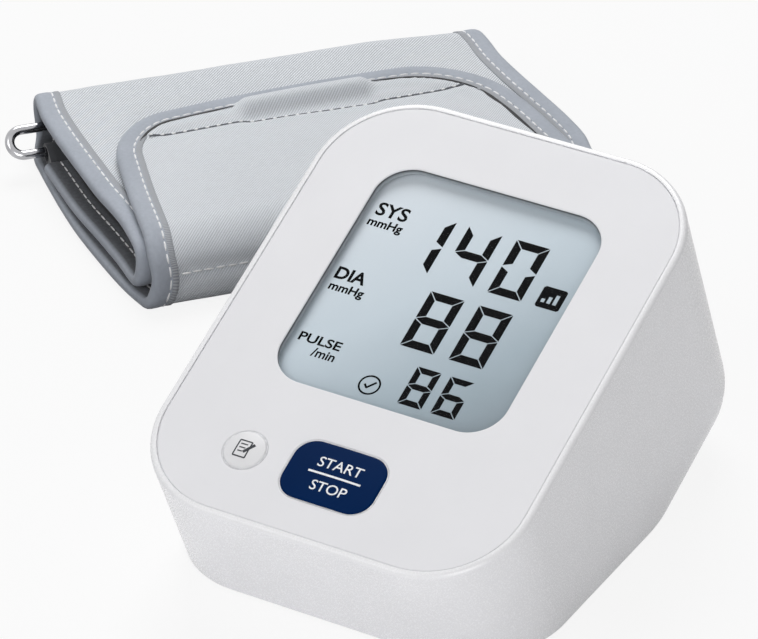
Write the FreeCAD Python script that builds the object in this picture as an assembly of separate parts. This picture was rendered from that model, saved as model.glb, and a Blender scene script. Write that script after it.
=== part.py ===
import FreeCAD, Part
import math
import os

# Home blood pressure monitor with a slanted face, and its folded arm cuff.
# Millimetres, +Z up, front towards -Y. The origin is the middle of the
# monitor's footprint on the table, under its rubber feet.

# Housing. The face is tilted, and every wall runs square to it.
case_width = 101.4
face_length = 130.0
face_tilt = 24.2
front_height = 31.5
case_depth = 75.2
case_corner_r = 25.0
case_wall = 2.6
case_floor = 2.4
back_round_r = 12.0
lip_width = 1.7
lip_round_r = 1.2
foot_proud = 0.8

# Front cover plate, set into the lip.
cover_thick = 2.0
cover_fit = 0.15
cover_drop = 0.15
cover_edge_r = 0.35

# Display.
window_side = 19.6
window_bottom = 41.8
window_head = 20.0
window_corner_r = 9.5
lens_thick = 0.7
lens_margin = 2.4
lcd_gap = 0.05
lcd_thick = 2.0
holder_wall = 1.4
holder_fit = 0.15
holder_shelf = 2.0
holder_shelf_thick = 1.2
strip_width = 2.4
strip_inset = 1.0

# Buttons. Both slide along the face's normal.
start_share = 0.24655
start_length = 16.9
start_corner_r = 5.5
start_v = 19.7
memory_r = 5.35
memory_share = 0.48126
memory_v = 19.5
button_proud = 0.5
button_crown = 0.45
button_edge_r = 0.5
button_gap = 0.3
button_flange = 1.8
button_flange_thick = 1.3
button_flange_gap = 0.05
button_travel = 0.8
stem_r = 2.4
stem_length = 2.6
switch_side = 6.0
switch_height = 3.4
switch_plunger_r = 1.5
switch_plunger_gap = 0.25
switch_plunger_sunk = 1.5
switch_hole_spare = 0.4

# Circuit board under the cover.
board_thick = 1.6
board_drop = 11.0
board_side = 17.7
board_front = 8.0
board_end_margin = 8.0
board_boss_r = 2.6
board_boss_front_in = 3.2
board_boss_front_v = 33.0
board_boss_rear_in = 11.0
board_boss_rear_margin = 12.0
board_screw_r = 1.0
board_screw_head_r = 2.2
board_screw_head = 1.4
board_screw_grip = 5.0
chip_side = 13.0
chip_height = 1.6
chip_u = 14.0
chip_v_shares = (0.3, 0.72)

# Screw posts along the face's normal.
post_r = 3.4
post_front_share = 0.74162
post_front_v = 22.0
post_rear_side = 13.7
post_rear_margin = 12.0
post_front_length = 16.0
post_rear_length = 34.0
post_web = 4.0
case_post_r = 4.2
screw_r = 1.4
screw_fit = 0.15
screw_grip = 8.0
screw_head_r = 2.6
screw_head = 2.0
screw_well_r = 3.0

# Battery bay in the base, with four cells side by side.
cell_count = 4
cell_r = 7.1
cell_length = 49.5
nub_r = 2.75
nub_length = 1.0
cell_gap = 0.3
cell_slack = 0.2
plate_thick = 0.5
plate_side = 9.0
leaf_depth = 4.0
leaf_height = 8.0
leaf_width = 8.0
leaf_thick = 0.45
leaf_flat_share = 0.35
bay_wall = 2.0
hatch_thick = 2.0
hatch_gap = 0.3
hatch_ledge = 1.2
hatch_ledge_gap = 0.1
tab_width = 5.0
tab_reach = 1.6
tab_root = 1.0
tab_thick = 1.0
tab_clear = 0.6
latch_width = 16.0
latch_length = 7.0
grip_count = 3
grip_pitch = 1.8
grip_width = 0.8
grip_deep = 0.6

# Rubber feet.
foot_r = 4.5
foot_sunk = 0.8
foot_fit = 0.2
foot_side = 13.7
foot_front_margin = 11.5
foot_rear_margin = 9.0

# Pump, valve, manifold and tubes, all on the roof of the battery bay.
air_y = 20.0
air_rise = 8.4
barb_r = 1.85
barb_length = 5.0
air_bore_r = 1.0
tube_r = 3.2
tube_bore_r = 2.0
tube_end_gap = 0.4
jack_bore_r = 3.0
jack_bore_length = 9.0
jack_body_r = 5.2
jack_fit = 0.2
jack_end = 2.0
jack_flange_r = 7.2
jack_flange = 1.5
barb_spacing = 1.5
manifold_width = 10.0
manifold_length = 12.0
manifold_height = 13.4
head_length = 12.0
head_r = 11.6
head_y_offset = -6.0
motor_r = 11.8
motor_end_room = 13.4
motor_cap_r = 4.0
motor_cap = 2.0
cradle_fit = 0.1
cradle_base = 2.4
cradle_end_room = 5.0
cradle_width = 19.0
cradle_height_share = 0.42
valve_width = 14.0
valve_length = 12.0
valve_room = 3.7
valve_gap = 16.0
sensor_side = 9.0
sensor_height = 6.0
sensor_nozzle = 5.0
sensor_tube_bend_r = 10.0

# Power inlet in the rear wall.
inlet_u = 18.0
inlet_back = 21.2
inlet_side = 11.0
inlet_depth = 13.0
inlet_sleeve_r = 4.4
inlet_fit = 0.2
inlet_bore_r = 2.75
inlet_bore_depth = 9.0
inlet_pin_r = 1.0

# Arm cuff, folded in layers and lying beside the monitor. Its edges run askew to the folds.
cuff_x = -111.9
cuff_y = 49.3
cuff_turn = 49.0
cuff_width = 135.0
cuff_deep = 100.0
top_back_height = 17.3
top_front_height = 14.5
cloth_thick = 2.6
binding_width = 9.0
binding_thick = 0.35
binding_gap = 0.05
layer_gap = 0.2
body_skew_share = -0.063
flap_left_share = 0.14
flap_right_share = -0.17
flap_end = 71.8
flap_left_drop = 5.3
flap_right_drop = 1.3
flap_left_r = 12.0
flap_right_r = 30.0
flap_join = 46.0
front_upper_r = 11.0
front_lower_r = 2.6
back_lower_r = 6.0
back_upper_r = 7.0
inner_fold = 6.0
inner_upper_r = 5.5
inner_lower_r = 3.2
inner_end = 75.0
bladder_thick = 1.4
bladder_gap = 0.1
bladder_start = 12.0
bladder_end = 6.0
bladder_margin = 4.0
port_r = 1.9
port_bore_r = 1.0
port_length = 7.0
port_width = 8.0
port_thick = 1.2
port_p = 42.0
ring_wire_r = 1.8
ring_bar_p = 81.0
ring_deep = 9.0
ring_lean = 44.0
ring_left_out = 9.9
ring_right_in = 3.0
ring_gap = 0.3
ring_lift = 0.1
loop_thick = 1.0
loop_left_in = 3.0
loop_right_in = 14.0

overrun = 1.0
tolerance = 0.001

# Worked out from the sizes above.
V = FreeCAD.Vector
corner_share = 1 - math.sqrt(0.5)
tilt = math.radians(face_tilt)
sin_t = math.sin(tilt)
cos_t = math.cos(tilt)
half_w = case_width / 2
start_width = start_share * case_width
memory_u = -memory_share * half_w
base_z = foot_proud
floor_z = base_z + case_floor
back_v = (base_z - front_height + case_depth * cos_t) / sin_t
base_front = (front_height - base_z) * sin_t / cos_t
base_back = back_v * cos_t + case_depth * sin_t
front_y = -(base_front + base_back) / 2
base_y0 = front_y + base_front
base_y1 = front_y + base_back
far = face_length + case_depth + case_width
FACE = FreeCAD.Placement(V(0, front_y, front_height), FreeCAD.Rotation(V(1, 0, 0), face_tilt))
X_AXIS = V(1, 0, 0)
Y_AXIS = V(0, 1, 0)
Z_AXIS = V(0, 0, 1)


def seat(shape):
    """Moves a shape from the face's frame (u, v, w) to the world."""
    out = shape.copy()
    out.Placement = FACE.multiply(out.Placement)
    return out


def face_point(u, v, w):
    """World place of a point in the face's frame."""
    return FACE.multVec(V(u, v, w))


def box(x0, x1, y0, y1, z0, z1):
    return Part.makeBox(x1 - x0, y1 - y0, z1 - z0, V(x0, y0, z0))


def rod(r, start, axis, length):
    return Part.makeCylinder(r, length, start, axis)


def rounded(x0, x1, y0, y1, r, z0, z1):
    """Prism along Z with rounded corners."""
    k = r * corner_share
    curves = [
        Part.LineSegment(V(x0 + r, y0, z0), V(x1 - r, y0, z0)),
        Part.Arc(V(x1 - r, y0, z0), V(x1 - k, y0 + k, z0), V(x1, y0 + r, z0)),
        Part.LineSegment(V(x1, y0 + r, z0), V(x1, y1 - r, z0)),
        Part.Arc(V(x1, y1 - r, z0), V(x1 - k, y1 - k, z0), V(x1 - r, y1, z0)),
        Part.LineSegment(V(x1 - r, y1, z0), V(x0 + r, y1, z0)),
        Part.Arc(V(x0 + r, y1, z0), V(x0 + k, y1 - k, z0), V(x0, y1 - r, z0)),
        Part.LineSegment(V(x0, y1 - r, z0), V(x0, y0 + r, z0)),
        Part.Arc(V(x0, y0 + r, z0), V(x0 + k, y0 + k, z0), V(x0 + r, y0, z0)),
    ]
    wire = Part.Wire([c.toShape() for c in curves])
    return Part.Face(wire).extrude(V(0, 0, z1 - z0))


def level_edges(shape, z):
    """Edges that lie in the plane at height z."""
    found = []
    for edge in shape.Edges:
        bounds = edge.BoundBox
        if abs(bounds.ZMin - z) < tolerance and abs(bounds.ZMax - z) < tolerance:
            found.append(edge)
    return found


def mirrored(shapes):
    """The shapes and their mirror images across the middle plane."""
    return shapes + [s.mirror(V(0, 0, 0), X_AXIS) for s in shapes]


def tidy(shape):
    out = shape.removeSplitter()
    if len(out.Solids) == 1:
        return out.Solids[0]
    return out


def save(name, shape):
    shape.exportStep("parts/" + name + ".step")


# Levels in the face's frame, measured down from the lip.
cover_low = -cover_thick
cover_top = -cover_drop
lens_low = cover_low - lens_thick
lcd_top = lens_low - lcd_gap
lcd_low = lcd_top - lcd_thick
board_top = -board_drop
board_low = board_top - board_thick
window_half = half_w - window_side
window_top = face_length - window_head
lens_half = window_half + lens_margin
lens_v0 = window_bottom - lens_margin
lens_v1 = window_top + lens_margin
board_v1 = face_length - board_end_margin
board_half = half_w - board_side
post_rear_v = face_length - post_rear_margin
boss_rear_v = face_length - board_boss_rear_margin
post_front_u = post_front_share * half_w
post_rear_u = half_w - post_rear_side
post_places = [(post_front_u, post_front_v, post_front_length), (post_rear_u, post_rear_v, post_rear_length)]
boss_places = [(board_half - board_boss_front_in, board_boss_front_v)]
boss_places += [(board_half - board_boss_rear_in, boss_rear_v)]

# Battery bay, in the world's frame.
cell_pitch = 2 * cell_r + cell_gap
bay_half = (cell_count * cell_pitch + cell_gap) / 2
bay_length = cell_length + nub_length + leaf_depth + plate_thick + cell_slack
bay_y1 = bay_length / 2
bay_y0 = -bay_y1
hatch_top = base_z + hatch_thick
cell_z = hatch_top + cell_gap + cell_r
bay_top = cell_z + cell_r + cell_gap
roof_z = bay_top + bay_wall
air_z = roof_z + air_rise
tab_low = floor_z + hatch_gap
tab_top = tab_low + tab_thick
tab_swing = math.hypot(tab_reach, tab_top - base_z)
tab_u = cell_pitch
inlet_w = case_depth - inlet_back
hatch_half = bay_half + hatch_ledge - hatch_gap
hatch_y0 = bay_y0 + hatch_gap
hatch_y1 = bay_y1 - hatch_gap
latch_end = hatch_y1 + latch_length


def outer_form(inset, deep, top):
    """The slanted prism with its rounded back, cut off level with the base."""
    round_r = back_round_r - inset
    side = half_w - inset
    form = rounded(-side, side, inset, face_length - inset, case_corner_r - inset, -deep, top)
    form = form.makeFillet(round_r, level_edges(form, -deep))
    return form


def make_rear_case():
    """Deep shell with the lip, battery bay, screw posts and inlets."""
    outer = outer_form(0, case_depth, 0)
    outer = outer.makeFillet(lip_round_r, level_edges(outer, 0))
    outer = seat(outer).cut(box(-far, far, -far, far, -far, base_z))
    hollow = seat(outer_form(case_wall, case_depth - case_wall, overrun))
    hollow = hollow.cut(box(-far, far, -far, far, -far, floor_z))
    lip_half = half_w - lip_width
    plate_seat = rounded(-lip_half, lip_half, lip_width, face_length - lip_width,
                         case_corner_r - lip_width, cover_low, overrun)
    shell = outer.cut([hollow, seat(plate_seat)])
    bay_side = bay_half + bay_wall
    adds = [box(-bay_side, bay_side, bay_y0 - bay_wall, bay_y1 + bay_wall, base_z, roof_z)]
    cuts = []
    for u, v, length in post_places:
        join = cover_low - length
        post = seat(rod(case_post_r, V(u, v, join), -Z_AXIS, far)).common(outer)
        well = seat(rod(screw_well_r, V(u, v, join - post_web), -Z_AXIS, far))
        hole = seat(rod(screw_r + screw_fit, V(u, v, join + overrun), -Z_AXIS, far))
        adds += mirrored([post])
        cuts += mirrored([well, hole])
    shell = shell.fuse(adds)
    cuts.append(box(-bay_half, bay_half, bay_y0, bay_y1, base_z - overrun, bay_top))
    recess_half = hatch_half + hatch_gap
    recess_top = hatch_top + hatch_ledge_gap
    cuts.append(box(-recess_half, recess_half, bay_y0, bay_y1, base_z - overrun, recess_top))
    notch_half = latch_width / 2 + hatch_gap
    notch_end = latch_end + hatch_gap
    cuts.append(box(-notch_half, notch_half, bay_y1 - overrun, notch_end, base_z - overrun, recess_top))
    notch_low = bay_y1 + bay_wall
    cuts.append(box(-notch_half, notch_half, notch_low, notch_end, base_z - overrun, floor_z + overrun))
    tab_half = tab_width / 2 + tab_clear
    tab_y0 = bay_y0 - bay_wall - overrun
    tab_window = box(tab_u - tab_half, tab_u + tab_half, tab_y0, bay_y0 + overrun,
                     floor_z, base_z + tab_swing + tab_clear)
    cuts += mirrored([tab_window])
    for u, y in foot_places():
        cuts += mirrored([rod(foot_r + foot_fit, V(u, y, base_z - overrun), Z_AXIS, foot_sunk + overrun)])
    jack_out = V(-half_w - overrun, air_y, air_z)
    cuts.append(rod(jack_body_r + jack_fit, jack_out, X_AXIS, case_wall + 2 * overrun))
    inlet = rod(inlet_sleeve_r + inlet_fit, V(inlet_u, face_length + overrun, -inlet_w), -Y_AXIS,
                case_wall + 2 * overrun)
    cuts.append(seat(inlet))
    return tidy(shell.cut(cuts))


def foot_places():
    u = half_w - foot_side
    return [(u, base_y0 + foot_front_margin), (u, base_y1 - foot_rear_margin)]


def make_front_cover():
    """Flat face plate with the display window, button holes and bosses."""
    half = half_w - lip_width - cover_fit
    v0 = lip_width + cover_fit
    r = case_corner_r - v0
    plate = rounded(-half, half, v0, face_length - v0, r, cover_low, cover_top)
    window = rounded(-window_half, window_half, window_bottom, window_top, window_corner_r,
                     cover_low - overrun, overrun)
    start_half = start_width / 2 + button_gap
    start_half_v = start_length / 2 + button_gap
    start_hole = rounded(-start_half, start_half, start_v - start_half_v, start_v + start_half_v,
                         start_corner_r + button_gap, cover_low - overrun, overrun)
    memory_top = V(memory_u, memory_v, overrun)
    memory_hole = rod(memory_r + button_gap, memory_top, -Z_AXIS, cover_thick + 2 * overrun)
    plate = plate.cut([window, start_hole, memory_hole])
    plate = plate.makeFillet(cover_edge_r, level_edges(plate, cover_top))
    adds = []
    cuts = []
    for u, v, length in post_places:
        end = cover_low - length
        adds += mirrored([rod(post_r, V(u, v, cover_low), -Z_AXIS, length)])
        cuts += mirrored([rod(screw_r + screw_fit, V(u, v, end - overrun), Z_AXIS, screw_grip + overrun)])
    for u, v in boss_places:
        boss_length = cover_low - board_top
        pilot = board_screw_grip + overrun
        adds += mirrored([rod(board_boss_r, V(u, v, cover_low), -Z_AXIS, boss_length)])
        cuts += mirrored([rod(board_screw_r + screw_fit, V(u, v, board_top - overrun), Z_AXIS, pilot)])
    return tidy(seat(plate.fuse(adds).cut(cuts)))


def make_display():
    """Lens, liquid crystal glass, holder frame and connector strips."""
    lens = rounded(-lens_half, lens_half, lens_v0, lens_v1, window_corner_r, lens_low, cover_low)
    glass = box(-lens_half, lens_half, lens_v0, lens_v1, lcd_low, lcd_top)
    out_half = lens_half + holder_fit + holder_wall
    out_v0 = lens_v0 - holder_fit - holder_wall
    out_v1 = lens_v1 + holder_fit + holder_wall
    in_half = lens_half + holder_fit
    in_v0 = lens_v0 - holder_fit
    in_v1 = lens_v1 + holder_fit
    frame_top = lens_low
    frame = box(-out_half, out_half, out_v0, out_v1, board_top, frame_top)
    frame = frame.cut(box(-in_half, in_half, in_v0, in_v1, lcd_low, frame_top + overrun))
    core_half = in_half - holder_shelf
    core_v0 = in_v0 + holder_shelf
    core_v1 = in_v1 - holder_shelf
    frame = frame.cut(box(-core_half, core_half, core_v0, core_v1, board_top - overrun, lcd_low + overrun))
    under = lcd_low - holder_shelf_thick
    frame = frame.cut(box(-in_half, in_half, in_v0, in_v1, board_top - overrun, under))
    strip_half = core_half - strip_inset
    low_v = core_v0 + strip_inset
    high_v = core_v1 - strip_inset
    strips = [
        box(-strip_half, strip_half, low_v, low_v + strip_width, board_top, lcd_low),
        box(-strip_half, strip_half, high_v - strip_width, high_v, board_top, lcd_low),
    ]
    save("display_lens", seat(lens))
    save("lcd_glass", seat(glass))
    save("lcd_holder", tidy(seat(frame)))
    save("lcd_connector_strips", seat(Part.makeCompound(strips)))


# Heights of a button's parts, down from the lip.
flange_top = cover_low - button_flange_gap
flange_low = flange_top - button_flange_thick
stem_low = flange_low - stem_length
switch_top = board_top + switch_height
plunger_low = switch_top - switch_plunger_sunk
hole_low = plunger_low - button_travel - switch_hole_spare


def crowned(cap, u, v, half_length):
    """Rounds the cap's top to a large sphere and softens its edge."""
    ball_r = (half_length * half_length + button_crown * button_crown) / (2 * button_crown)
    ball = Part.makeSphere(ball_r, V(u, v, button_proud - ball_r))
    cap = cap.common(ball)
    rim = [e for e in cap.Edges if e.BoundBox.ZMin > cover_top - button_crown]
    return cap.makeFillet(button_edge_r, rim)


def make_buttons():
    """Two push buttons with their flanges and stems, and the switch plungers."""
    half = start_width / 2
    half_v = start_length / 2
    cap = rounded(-half, half, start_v - half_v, start_v + half_v, start_corner_r, flange_top, button_proud)
    cap = crowned(cap, 0, start_v, half)
    flange_half = half + button_flange
    flange_v = half_v + button_flange
    flange = rounded(-flange_half, flange_half, start_v - flange_v, start_v + flange_v,
                     start_corner_r + button_flange, flange_low, flange_top)
    stem = rod(stem_r, V(0, start_v, flange_low), -Z_AXIS, stem_length)
    save("start_stop_button", tidy(seat(cap.fuse([flange, stem]))))
    cap = rod(memory_r, V(memory_u, memory_v, flange_top), Z_AXIS, button_proud - flange_top)
    cap = crowned(cap, memory_u, memory_v, memory_r)
    flange = rod(memory_r + button_flange, V(memory_u, memory_v, flange_top), -Z_AXIS, button_flange_thick)
    stem = rod(stem_r, V(memory_u, memory_v, flange_low), -Z_AXIS, stem_length)
    save("memory_button", tidy(seat(cap.fuse([flange, stem]))))
    bodies = []
    for name, u, v in (("start_switch_plunger", 0, start_v), ("memory_switch_plunger", memory_u, memory_v)):
        side = switch_side / 2
        body = box(u - side, u + side, v - side, v + side, board_top, switch_top)
        body = body.cut(rod(switch_plunger_r + switch_plunger_gap, V(u, v, hole_low), Z_AXIS, far))
        bodies.append(body)
        save(name, seat(rod(switch_plunger_r, V(u, v, plunger_low), Z_AXIS, stem_low - plunger_low)))
    save("tact_switches", seat(Part.makeCompound(bodies)))


def make_board():
    """Circuit board, its chips and its screws."""
    board = box(-board_half, board_half, board_front, board_v1, board_low, board_top)
    screws = []
    for u, v in boss_places:
        board = board.cut(mirrored([rod(board_screw_r + screw_fit, V(u, v, far), -Z_AXIS, 2 * far)]))
        head = rod(board_screw_head_r, V(u, v, board_low), -Z_AXIS, board_screw_head)
        shank = rod(board_screw_r, V(u, v, board_low), Z_AXIS, board_thick + board_screw_grip)
        screws += mirrored([tidy(head.fuse(shank))])
    chips = []
    for share in chip_v_shares:
        v = board_front + share * (board_v1 - board_front)
        u0 = chip_u - chip_side / 2
        half = chip_side / 2
        chips.append(box(u0, u0 + chip_side, v - half, v + half, board_low - chip_height, board_low))
    save("main_board", tidy(seat(board)))
    save("board_chips", seat(Part.makeCompound(chips)))
    save("board_screws", seat(Part.makeCompound(screws)))


def make_screws():
    """Long housing screws that enter through the wells in the base."""
    screws = []
    for u, v, length in post_places:
        shoulder = cover_low - length - post_web
        head = rod(screw_head_r, V(u, v, shoulder), -Z_AXIS, screw_head)
        shank = rod(screw_r, V(u, v, shoulder), Z_AXIS, post_web + screw_grip)
        screws += mirrored([tidy(head.fuse(shank))])
    save("case_screws", seat(Part.makeCompound(screws)))


def make_feet():
    feet = []
    for u, y in foot_places():
        feet += mirrored([rod(foot_r, V(u, y, 0), Z_AXIS, foot_proud + foot_sunk)])
    save("rubber_feet", Part.makeCompound(feet))


def make_battery():
    """Four cells with alternating ends, their contacts and the bay's cover."""
    leaves = []
    plates = []
    for k in range(cell_count):
        x = -bay_half + cell_gap + cell_r + k * cell_pitch
        turn = 1 - 2 * (k % 2)
        neg_y = -turn * (bay_y1 - leaf_depth - cell_slack / 2)
        way = V(0, turn, 0)
        body = rod(cell_r, V(x, neg_y, cell_z), way, cell_length)
        nub = rod(nub_r, V(x, neg_y + turn * cell_length, cell_z), way, nub_length)
        save("battery_cell_" + str(k + 1), tidy(body.fuse(nub)))
        wall_y = -turn * bay_y1
        flat = leaf_height * leaf_flat_share / 2
        high = leaf_height / 2
        rim = high - leaf_thick
        deep = leaf_depth
        shape_out = [(0, -high), (deep, -flat), (deep, flat), (0, high)]
        shape_in = [(0, rim), (deep - leaf_thick, flat), (deep - leaf_thick, -flat), (0, -rim)]
        outline = [V(x - leaf_width / 2, wall_y + turn * d, cell_z + h) for d, h in shape_out + shape_in]
        wire = Part.makePolygon(outline + [outline[0]])
        leaves.append(Part.Face(wire).extrude(V(leaf_width, 0, 0)))
        plate_y = -wall_y
        plate_in = plate_y - turn * plate_thick
        side = plate_side / 2
        near = min(plate_y, plate_in)
        away = max(plate_y, plate_in)
        plates.append(box(x - side, x + side, near, away, cell_z - side, cell_z + side))
    save("battery_springs", Part.makeCompound(leaves))
    save("battery_plates", Part.makeCompound(plates))
    hatch = box(-hatch_half, hatch_half, hatch_y0, hatch_y1, base_z, hatch_top)
    latch_half = latch_width / 2
    adds = [box(-latch_half, latch_half, hatch_y1, latch_end, base_z, hatch_top)]
    tab_x0 = tab_u - tab_width / 2
    tab_x1 = tab_u + tab_width / 2
    root = box(tab_x0, tab_x1, hatch_y0, hatch_y0 + tab_root, hatch_top, tab_top)
    tab = box(tab_x0, tab_x1, hatch_y0 - tab_reach, hatch_y0, tab_low, tab_top)
    adds += mirrored([root, tab])
    cuts = []
    for k in range(grip_count):
        y = hatch_y1 + k * grip_pitch
        cuts.append(box(-latch_half + grip_width, latch_half - grip_width, y, y + grip_width,
                        base_z - overrun, base_z + grip_deep))
    save("battery_cover", tidy(hatch.fuse(adds).cut(cuts)))


def under_board(y):
    """Height at which the board's screw heads end, over a place on the base."""
    w = board_low - board_screw_head
    v = (y - front_y + w * sin_t) / cos_t
    return face_point(0, v, w).z


def hollow_rod(r, bore, start, axis, length):
    return rod(r, start, axis, length).cut(rod(bore, start - axis * overrun, axis, length + 2 * overrun))


def make_air():
    """Pump, valve, sensor, jack and the manifold and tubes between them."""
    wall_in = -half_w + case_wall
    jack_low = -half_w + jack_bore_length + jack_end
    jack_tip = jack_low + barb_length
    jack_start = V(-half_w, air_y, air_z)
    jack = rod(jack_body_r, jack_start, X_AXIS, jack_bore_length + jack_end)
    jack = jack.fuse([
        rod(jack_flange_r, V(wall_in, air_y, air_z), X_AXIS, jack_flange),
        rod(barb_r, V(jack_low, air_y, air_z), X_AXIS, barb_length),
    ])
    jack = jack.cut([
        rod(jack_bore_r, jack_start - X_AXIS * overrun, X_AXIS, jack_bore_length + overrun),
        rod(air_bore_r, jack_start, X_AXIS, far),
    ])
    save("air_jack", tidy(jack))
    block_x0 = jack_tip + barb_spacing + barb_length
    block_x1 = block_x0 + manifold_width
    mid_x = (block_x0 + block_x1) / 2
    block_y0 = air_y - manifold_length / 2
    block_y1 = air_y + manifold_length / 2
    block_top = roof_z + manifold_height
    block = box(block_x0, block_x1, block_y0, block_y1, roof_z, block_top)
    block = block.fuse([
        rod(barb_r, V(block_x0, air_y, air_z), -X_AXIS, barb_length),
        rod(barb_r, V(block_x1, air_y, air_z), X_AXIS, barb_length),
        rod(barb_r, V(mid_x, block_y0, air_z), -Y_AXIS, barb_length),
        rod(barb_r, V(mid_x, air_y, block_top), Z_AXIS, barb_length),
    ])
    run = manifold_width + 2 * (barb_length + overrun)
    reach = manifold_length / 2 + barb_length + overrun
    block = block.cut([
        rod(air_bore_r, V(block_x0 - barb_length - overrun, air_y, air_z), X_AXIS, run),
        rod(air_bore_r, V(mid_x, air_y, air_z), -Y_AXIS, reach),
        rod(air_bore_r, V(mid_x, air_y, air_z), Z_AXIS, far),
    ])
    save("air_manifold", tidy(block))
    head_x0 = block_x1 + 2 * barb_length + barb_spacing
    head_x1 = head_x0 + head_length
    pump_y = air_y + head_y_offset
    pump_z = roof_z + cradle_base + cradle_fit + motor_r
    head = rod(head_r, V(head_x0, pump_y, pump_z), X_AXIS, head_length)
    head = head.fuse(rod(barb_r, V(head_x0, air_y, air_z), -X_AXIS, barb_length))
    head = head.cut(rod(air_bore_r, V(head_x0 - barb_length - overrun, air_y, air_z), X_AXIS, reach))
    save("pump_head", tidy(head))
    motor_length = half_w - motor_end_room - motor_cap - head_x1
    motor = rod(motor_r, V(head_x1, pump_y, pump_z), X_AXIS, motor_length)
    motor = motor.fuse(rod(motor_cap_r, V(head_x1 + motor_length, pump_y, pump_z), X_AXIS, motor_cap))
    save("pump_motor", tidy(motor))
    cradle_x0 = head_x1 + cradle_end_room
    cradle_x1 = head_x1 + motor_length - cradle_end_room
    cradle_top = roof_z + cradle_base + 2 * motor_r * cradle_height_share
    cradle = box(cradle_x0, cradle_x1, pump_y - cradle_width / 2, pump_y + cradle_width / 2,
                 roof_z, cradle_top)
    cradle = cradle.cut(rod(motor_r + cradle_fit, V(-far, pump_y, pump_z), X_AXIS, 2 * far))
    save("pump_cradle", tidy(cradle))
    valve_y1 = block_y0 - valve_gap
    valve_y0 = valve_y1 - valve_length
    valve_top = under_board(valve_y0) - valve_room
    valve = box(mid_x - valve_width / 2, mid_x + valve_width / 2, valve_y0, valve_y1, roof_z, valve_top)
    valve = valve.fuse(rod(barb_r, V(mid_x, valve_y1, air_z), Y_AXIS, barb_length))
    valve = valve.cut(rod(air_bore_r, V(mid_x, valve_y1 + barb_length + overrun, air_z), -Y_AXIS, reach))
    save("exhaust_valve", tidy(valve))
    # The sensor's tube rises from the manifold and leans over to the board's normal.
    bend_z = block_top + barb_length + tube_end_gap
    bend_end = V(mid_x, air_y - sensor_tube_bend_r * (1 - cos_t), bend_z + sensor_tube_bend_r * sin_t)
    half_turn = tilt / 2
    bend_mid = V(mid_x, air_y - sensor_tube_bend_r * (1 - math.cos(half_turn)),
                 bend_z + sensor_tube_bend_r * math.sin(half_turn))
    local = FACE.inverse().multVec(bend_end)
    sensor_low = board_low - sensor_height
    side = sensor_side / 2
    sensor = box(mid_x - side, mid_x + side, local.y - side, local.y + side, sensor_low, board_low)
    nozzle = rod(barb_r, V(mid_x, local.y, sensor_low), -Z_AXIS, sensor_nozzle)
    sensor = sensor.fuse(nozzle)
    nozzle_bore = sensor_nozzle + overrun
    bore_start = V(mid_x, local.y, sensor_low - nozzle_bore)
    sensor = sensor.cut(rod(air_bore_r, bore_start, Z_AXIS, nozzle_bore + overrun))
    save("pressure_sensor", tidy(seat(sensor)))
    tube_start = V(mid_x, air_y, block_top + tube_end_gap)
    bend_start = V(mid_x, air_y, bend_z)
    tube_stop = face_point(mid_x, local.y, sensor_low - tube_end_gap)
    path = Part.Wire([
        Part.LineSegment(tube_start, bend_start).toShape(),
        Part.Arc(bend_start, bend_mid, bend_end).toShape(),
        Part.LineSegment(bend_end, tube_stop).toShape(),
    ])
    bent = []
    for r in (tube_r, tube_bore_r):
        ring = Part.Wire([Part.Circle(tube_start, Z_AXIS, r).toShape()])
        bent.append(path.makePipeShell([ring], True, False))
    jack_tube_x0 = jack_low + tube_end_gap
    head_tube_x0 = block_x1 + tube_end_gap
    valve_tube_y0 = valve_y1 + tube_end_gap
    tubes = [
        tidy(bent[0].cut(bent[1])),
        hollow_rod(tube_r, tube_bore_r, V(jack_tube_x0, air_y, air_z), X_AXIS,
                   block_x0 - tube_end_gap - jack_tube_x0),
        hollow_rod(tube_r, tube_bore_r, V(head_tube_x0, air_y, air_z), X_AXIS,
                   head_x0 - tube_end_gap - head_tube_x0),
        hollow_rod(tube_r, tube_bore_r, V(mid_x, valve_tube_y0, air_z), Y_AXIS,
                   block_y0 - tube_end_gap - valve_tube_y0),
    ]
    save("air_tubes", Part.makeCompound(tubes))


def make_inlet():
    """Barrel socket behind the rear wall."""
    wall_v = face_length - case_wall
    side = inlet_side / 2
    body = box(inlet_u - side, inlet_u + side, wall_v - inlet_depth, wall_v, -inlet_w - side, -inlet_w + side)
    body = body.fuse(rod(inlet_sleeve_r, V(inlet_u, wall_v, -inlet_w), Y_AXIS, case_wall))
    deep = V(inlet_u, face_length - inlet_bore_depth, -inlet_w)
    body = body.cut(rod(inlet_bore_r, deep, Y_AXIS, inlet_bore_depth + overrun))
    body = body.fuse(rod(inlet_pin_r, deep - Y_AXIS * overrun, Y_AXIS, inlet_bore_depth))
    save("dc_jack", tidy(seat(body)))


# Cuff levels in its own frame: a along the folds, p back from the front fold, z up.
cloth_half = cloth_thick / 2
core_half = cloth_half + binding_gap
band_half = core_half + binding_thick
layer_pitch = 2 * band_half + layer_gap
outer_z = band_half
inner_z = outer_z + layer_pitch
front_p = band_half
inner_p = inner_fold + band_half
back_p = cuff_deep - band_half
slope = math.atan2(top_back_height - top_front_height, back_p - inner_p)
flap_step = layer_pitch / math.cos(slope)
join_p = flap_end - flap_join
SPREAD = FreeCAD.Rotation(V(1, 0, 0), math.degrees(slope))
CUFF = FreeCAD.Placement(V(cuff_x, cuff_y, 0), FreeCAD.Rotation(V(0, 0, 1), cuff_turn))


def top_height(p):
    """Height of the upper layer's middle at a distance back from the front."""
    return top_front_height + (p - inner_p) * math.tan(slope)


def lay(shape):
    """Moves a shape from the cuff's frame to the world."""
    out = shape.copy()
    out.Placement = CUFF.multiply(out.Placement)
    return out


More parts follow.
